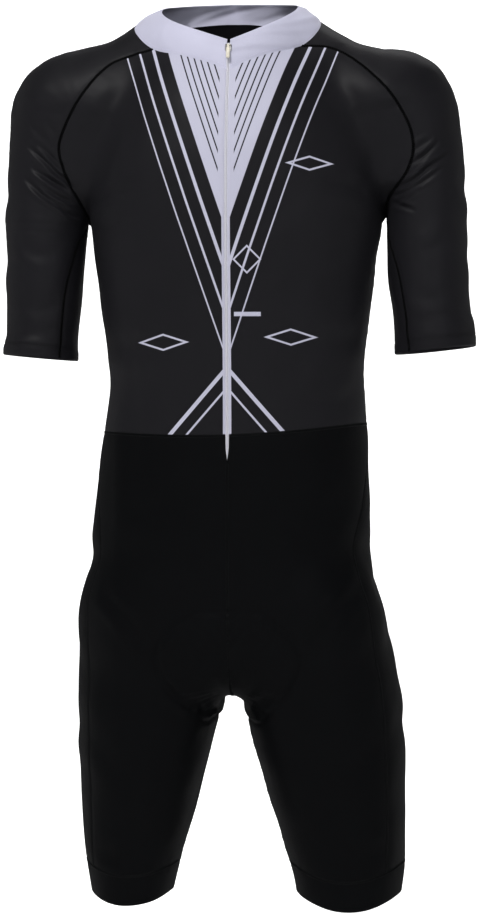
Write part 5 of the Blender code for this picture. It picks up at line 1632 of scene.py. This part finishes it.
def front_print(tree, place):
    """Plain geometric print: a striped white wedge, nested chevrons, rhombi and a bar."""
    split = new_node(tree, "ShaderNodeSeparateXYZ", {"Vector": place})
    x, z = (calc(tree, "MULTIPLY", split.outputs[k], 1 / MM) for k in ("X", "Z"))
    side = calc(tree, "ABSOLUTE", x)
    rise = calc(tree, "MULTIPLY", calc(tree, "SUBTRACT", z, WEDGE_TIP), WEDGE_SLOPE)
    inside = calc(tree, "SUBTRACT", rise, side)
    wedge = soft_edge(tree, inside)
    stripe = calc(tree, "PINGPONG", inside, PINSTRIPE_PITCH / 2)
    stripes = all_of(tree, soft_edge(tree, calc(tree, "SUBTRACT", PINSTRIPE_HALF, stripe)),
                     soft_edge(tree, calc(tree, "SUBTRACT", inside, PINSTRIPE_FROM)),
                     soft_edge(tree, calc(tree, "SUBTRACT", side, PINSTRIPE_CLEAR)))
    masks = [all_of(tree, wedge, calc(tree, "SUBTRACT", 1.0, stripes))]
    outside = calc(tree, "MULTIPLY", inside, -1.0)
    masks += [band_mask(tree, outside, middle, half) for middle, half in CHEVRONS]
    masks.append(band_mask(tree, x, 0.0, CENTRE_STRIPE_HALF))
    drop = calc(tree, "MULTIPLY_ADD", side, TENT_SLOPE, z)
    masks += [band_mask(tree, drop, middle, half) for middle, half in TENTS]
    for cx, cz, half_x, half_z, line in RHOMBI:
        across = calc(tree, "DIVIDE", calc(tree, "ABSOLUTE", calc(tree, "SUBTRACT", x, cx)), half_x)
        along = calc(tree, "DIVIDE", calc(tree, "ABSOLUTE", calc(tree, "SUBTRACT", z, cz)), half_z)
        ringed = calc(tree, "MULTIPLY", calc(tree, "ADD", across, along), min(half_x, half_z))
        masks.append(band_mask(tree, ringed, min(half_x, half_z), line))
    for cx, cz, half_x, half_z in BARS:
        masks.append(all_of(tree, band_mask(tree, x, cx, half_x), band_mask(tree, z, cz, half_z)))
    return any_of(tree, *masks)


def thread(name, colour, roughness):
    """Twisted thread with a faint change of tone along it."""
    material, tree, shader = blank(name, roughness, 0.12, 0.02)
    place = object_place(tree)
    twist = noise(tree, place, THREAD_TWIST, 2.0)
    paint(tree, shader, mixed(tree, twist, shade(colour, 0.7), shade(colour, 1.3)))
    bumped(tree, shader, (twist, 0.5, 0.1 * MM))
    return material


def woven_tape(name, colour):
    """Twill tape: fine diagonal ribs, with painted shade in the grooves between them."""
    material, tree, shader = blank(name, 0.7, 0.35, 0.2)
    weave = new_node(tree, "ShaderNodeUVMap", uv_map=WEAVE_MAP).outputs["UV"]
    ribs = new_node(tree, "ShaderNodeTexWave",
                    {"Vector": weave, "Scale": math.pi / (10 * TWILL), "Distortion": 0.4,
                     "Detail": 1.0},
                    wave_type="BANDS", bands_direction="DIAGONAL").outputs["Fac"]
    # Painted shade: the colour is darker in the grooves between the ribs
    paint(tree, shader, mixed(tree, ribs, shade(colour, 0.82), shade(colour, 1.0)))
    bumped(tree, shader, (ribs, 0.5, 0.15 * MM))
    return material


def moulded(name, colour, roughness, metallic=0.0):
    """Plastic or metal with a faint grain and slightly worn tone."""
    material, tree, shader = blank(name, roughness, 0.5, 0.0, metallic)
    place = object_place(tree)
    speck = noise(tree, place, GRAIN, 4.0)
    paint(tree, shader, mixed(tree, speck, shade(colour, 0.9), shade(colour, 1.05)))
    uneven = ranged(tree, speck, roughness - 0.08, roughness + 0.1)
    tree.links.new(uneven, shader.inputs["Roughness"])
    bumped(tree, shader, (speck, 0.3, GRAIN_DEPTH))
    return material


def pad_cover():
    """Brushed microfibre with small pores in a close grid, with painted shade inside the pores."""
    material, tree, shader = blank("pad_microfibre", 0.85, 0.2, 0.4)
    place = object_place(tree)
    pores = new_node(tree, "ShaderNodeTexVoronoi", {"Vector": place, "Scale": PAD_PORES,
                                                    "Randomness": 0.15}).outputs["Distance"]
    hole = new_node(tree, "ShaderNodeMapRange",
                    {"Value": pores, "From Min": PORE_EDGE[0], "From Max": PORE_EDGE[1]})
    cloud = noise(tree, place, KNIT_CLOUD)
    ground = mixed(tree, cloud, shade(PAD_COLOUR, 0.85), shade(PAD_COLOUR, 1.15))
    # Painted shade: the colour falls to about a third inside each pore
    paint(tree, shader, mixed(tree, hole.outputs[0], shade(PAD_COLOUR, 0.35), ground))
    bumped(tree, shader, (hole.outputs[0], 0.6, 0.4 * MM))
    return material


# ---- studio -----------------------------------------------------------------------------

def eased(tree, value, limits):
    """Soft change from 0 at the first limit to 1 at the second."""
    return new_node(tree, "ShaderNodeMapRange",
                    {"Value": value, "From Min": limits[0], "From Max": limits[1]},
                    interpolation_type="SMOOTHSTEP").outputs[0]


def backdrop():
    """Round pale floor that curves up into a wall all round, brightest behind the suit."""
    turn = np.linspace(0, math.pi / 2, STAGE_BEND_STEPS)
    profile = [(0.0, 0.0)]
    profile += [(STAGE_RADIUS - STAGE_BEND + STAGE_BEND * math.sin(t),
                 STAGE_BEND - STAGE_BEND * math.cos(t)) for t in turn]
    profile.append((STAGE_RADIUS, STAGE_TOP))
    around = np.linspace(0, 2 * math.pi, STAGE_SIDES, endpoint=False)
    points = np.array([(r * math.cos(a), r * math.sin(a), FLOOR + z)
                       for r, z in profile for a in around])
    number = np.arange(len(points)).reshape(len(profile), STAGE_SIDES)
    faces = quads_of(number, np.roll(number, -1, axis=1))
    material, tree, shader = blank("paper_white", 0.9, 0.1)
    place = object_place(tree)
    paint(tree, shader, mixed(tree, noise(tree, place, PAPER_CLOUD), *PAPER_TONES))
    split = new_node(tree, "ShaderNodeSeparateXYZ", {"Vector": place})
    behind = eased(tree, split.outputs["Y"], STAGE_GLOW_Y)
    across = calc(tree, "MULTIPLY_ADD", split.outputs["Y"], -STAGE_GLOW_SPREAD,
                  calc(tree, "ABSOLUTE", split.outputs["X"]))
    within = eased(tree, across, STAGE_GLOW_X)
    glow = calc(tree, "MULTIPLY_ADD", calc(tree, "MULTIPLY", behind, within),
                STAGE_GLOW_HIGH - STAGE_GLOW_LOW, STAGE_GLOW_LOW)
    shader.inputs["Emission Color"].default_value = (1, 1, 1, 1)
    tree.links.new(glow, shader.inputs["Emission Strength"])
    material.cycles.emission_sampling = "NONE"
    add_mesh("backdrop", points, faces.tolist(), material)


def aim(item, place):
    """Put a light or the camera in its place, turned to the suit's middle."""
    item.location = place
    item.rotation_euler = (TARGET - item.location).to_track_quat("-Z", "Y").to_euler()
    bpy.context.scene.collection.objects.link(item)


def area_light(name, place, size, watts, colour):
    light = bpy.data.lights.new(name, "AREA")
    light.shape = "RECTANGLE"
    light.size, light.size_y = size
    light.energy = watts
    light.color = colour
    aim(bpy.data.objects.new(name, light), place)


def studio():
    backdrop()
    for light in LIGHTS:
        area_light(*light)
    world = bpy.data.worlds.new("studio")
    world.use_nodes = True
    ground = world.node_tree.nodes["Background"]
    ground.inputs["Color"].default_value = (1.0, 1.0, 1.0, 1)
    ground.inputs["Strength"].default_value = WORLD_STRENGTH
    bpy.context.scene.world = world
    bpy.context.scene.view_settings.view_transform = "Standard"
    camera = bpy.data.objects.new("camera", bpy.data.cameras.new("camera"))
    turn = math.radians(CAMERA_AZIMUTH)
    aim(camera, TARGET + CAMERA_AWAY * Vector((math.sin(turn), -math.cos(turn), 0)))
    camera.data.lens = CAMERA_LENS
    camera.data.sensor_width = CAMERA_SENSOR
    camera.data.clip_end = CAMERA_CLIP
    bpy.context.scene.camera = camera


# ---- the suit ---------------------------------------------------------------------------

def finished(points, folds):
    """Outer and inner grids of a panel, with its normals; folds thicken a hem inside."""
    laid = on_form(points, 1)
    normal = outward(laid)
    outer = laid + normal * relief(laid)[..., None]
    wall = np.full(points.shape[:2], SHELL)
    if folds:
        up = lengths_along(points[::-1], 0)[::-1]
        wall = wall + HEM_FOLD * ease((folds - up) / HEM_FOLD_WIDTH + 0.5)
    return outer, outer - normal * wall[..., None], normal


def free_edges(name):
    if name.startswith("sleeve") or name.startswith("leg_band"):
        return ("bottom",)
    if name.startswith("front"):
        return ("start",)
    return ()


def seam_paths(fine):
    """Sewn lines of the bodice and of the shorts."""
    bodice, shorts = [], []
    slot = SLOT_STEPS * ROW_FINE
    for side in SIDES:
        part = fine[side]
        bodice += [part["raglan_front"], part["raglan_back"], part["side"], part["underarm"]]
        shorts += [joined(part["waist_front"], part["waist_back"][::-1]), part["inseam"],
                   part["shorts_side"], joined(part["band_front"], part["band_back"][::-1])]
    shorts += [fine["right"]["rise_front"][slot:], fine["right"]["rise_back"]]
    return bodice, shorts


def declare(name, piece):
    """The piece takes its CAD node's place."""
    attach(piece, "suit")
    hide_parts(name)


lines = {side: build_seams(side) for side in SIDES}
fine = {side: fine_seams(lines[side]) for side in SIDES}
grids = cloth_grids(lines, fine)
PAD_OUTER = pad_points(lines)
PAD_TREE = tree_of(PAD_OUTER.reshape(-1, 3))
bodice_seams, shorts_seams = seam_paths(fine)
SEAM_RUNS = bodice_seams + shorts_seams
HEMS = [(fine[side]["sleeve_hem"], SLEEVE_HEM_DEPTH) for side in SIDES]
CREASES = [(laid_path(face, spots), width * MM, depth * CREASE_DEPTH * MM)
           for face, width, depth, spots in CREASES_LAID]

charcoal = knit("charcoal_knit", CHARCOAL, 0.42, 0.07, 0.0)
printed = knit("charcoal_knit_printed", CHARCOAL, 0.42, 0.07, 0.0, painted=front_print)
black = knit("black_knit", BLACK, 0.42, 0.03, 0.0)
ribbed = knit("black_rib", BLACK, 0.45, 0.03, 0.0, wale=1.6 * MM, course=0.8 * MM)
white = knit("white_knit", COLLAR_WHITE, 0.66, 0.3, 0.15)
dark_seam = knit("seam_dark", SEAM_DARK, 0.7, 0.03, 0.004)
dark_thread = thread("thread_dark", SEAM_DARK, 0.6)
black_thread = thread("thread_black", THREAD_BLACK, 0.6)
white_thread = thread("thread_white", COLLAR_WHITE, 0.6)
tape_white = woven_tape("zip_tape_white", ZIP_WHITE)
coil_white = moulded("zip_coil", ZIP_WHITE, 0.38)
steel = moulded("slider_steel", STEEL, 0.3, 1.0)
cream = moulded("tab_cream", CREAM, 0.42)
cover = pad_cover()

CLOTHS = {"back": (charcoal, "charcoal_knit")}
for side in SIDES:
    CLOTHS[f"front_{side}"] = (printed, "charcoal_knit")
    CLOTHS[f"sleeve_{side}"] = (charcoal, "charcoal_knit")
    CLOTHS[f"shorts_front_{side}"] = (black, "black_knit")
    CLOTHS[f"shorts_back_{side}"] = (black, "black_knit")
    CLOTHS[f"leg_band_{side}"] = (ribbed, "black_knit")

outers, inners, normals = {}, {}, {}
for name, (material, slot) in CLOTHS.items():
    folds = SLEEVE_HEM_DEPTH if name.startswith("sleeve") else 0.0
    outers[name], inners[name], normals[name] = finished(grids[name], folds)
    piece = shell(f"{name}_cloth", outers[name], inners[name], material, free_edges(name))
    declare(name, piece)

collar, collar_normal = collar_points(fine)
piece = shell("collar_cloth", collar, collar - collar_normal * SHELL, white,
              ("top", "start", "end"))
declare("collar", piece)

sewing = sew("bodice", bodice_seams, dark_seam, dark_thread)
sewing += sew("shorts", shorts_seams, black, black_thread)
hem_parts = []
for side in SIDES:
    for distance in HEM_ROWS:
        run = level_line(grids[f"sleeve_{side}"], distance)
        hem_parts.append(dashes(surface(run), outward(run)))
sewing.append(merged("sleeve_hem_stitches", hem_parts, dark_thread))
for distance in COLLAR_STITCH_ROWS:
    run = level_line(collar, distance)
    sewing.append(merged("collar_stitches", [dashes(run, collar_normal[-2])], white_thread))
for piece in sewing:
    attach(piece, "suit")

right, left = zip_rows(outers, normals, collar, collar_normal)
tape, coil = zip_tape(right, left, tape_white, coil_white)
for piece in (tape, coil):
    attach(piece, "suit")
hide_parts("zip_tape")

pad, rim, facing = seat_pad(PAD_OUTER, cover)
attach(pad, "suit")
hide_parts("seat_pad")
pad_sewing = merged("seat_pad_stitches", [dashes(rim, facing)], black_thread)
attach(pad_sewing, "suit")

slider = rounded_copy("slider_body", "zip_slider", steel, SLIDER_BEVEL)
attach(slider, "suit")
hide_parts("zip_slider")
tab = rounded_copy("tab_body", "pull_tab", cream, TAB_BEVEL)
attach(tab, "tab")
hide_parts("pull_tab")

studio()
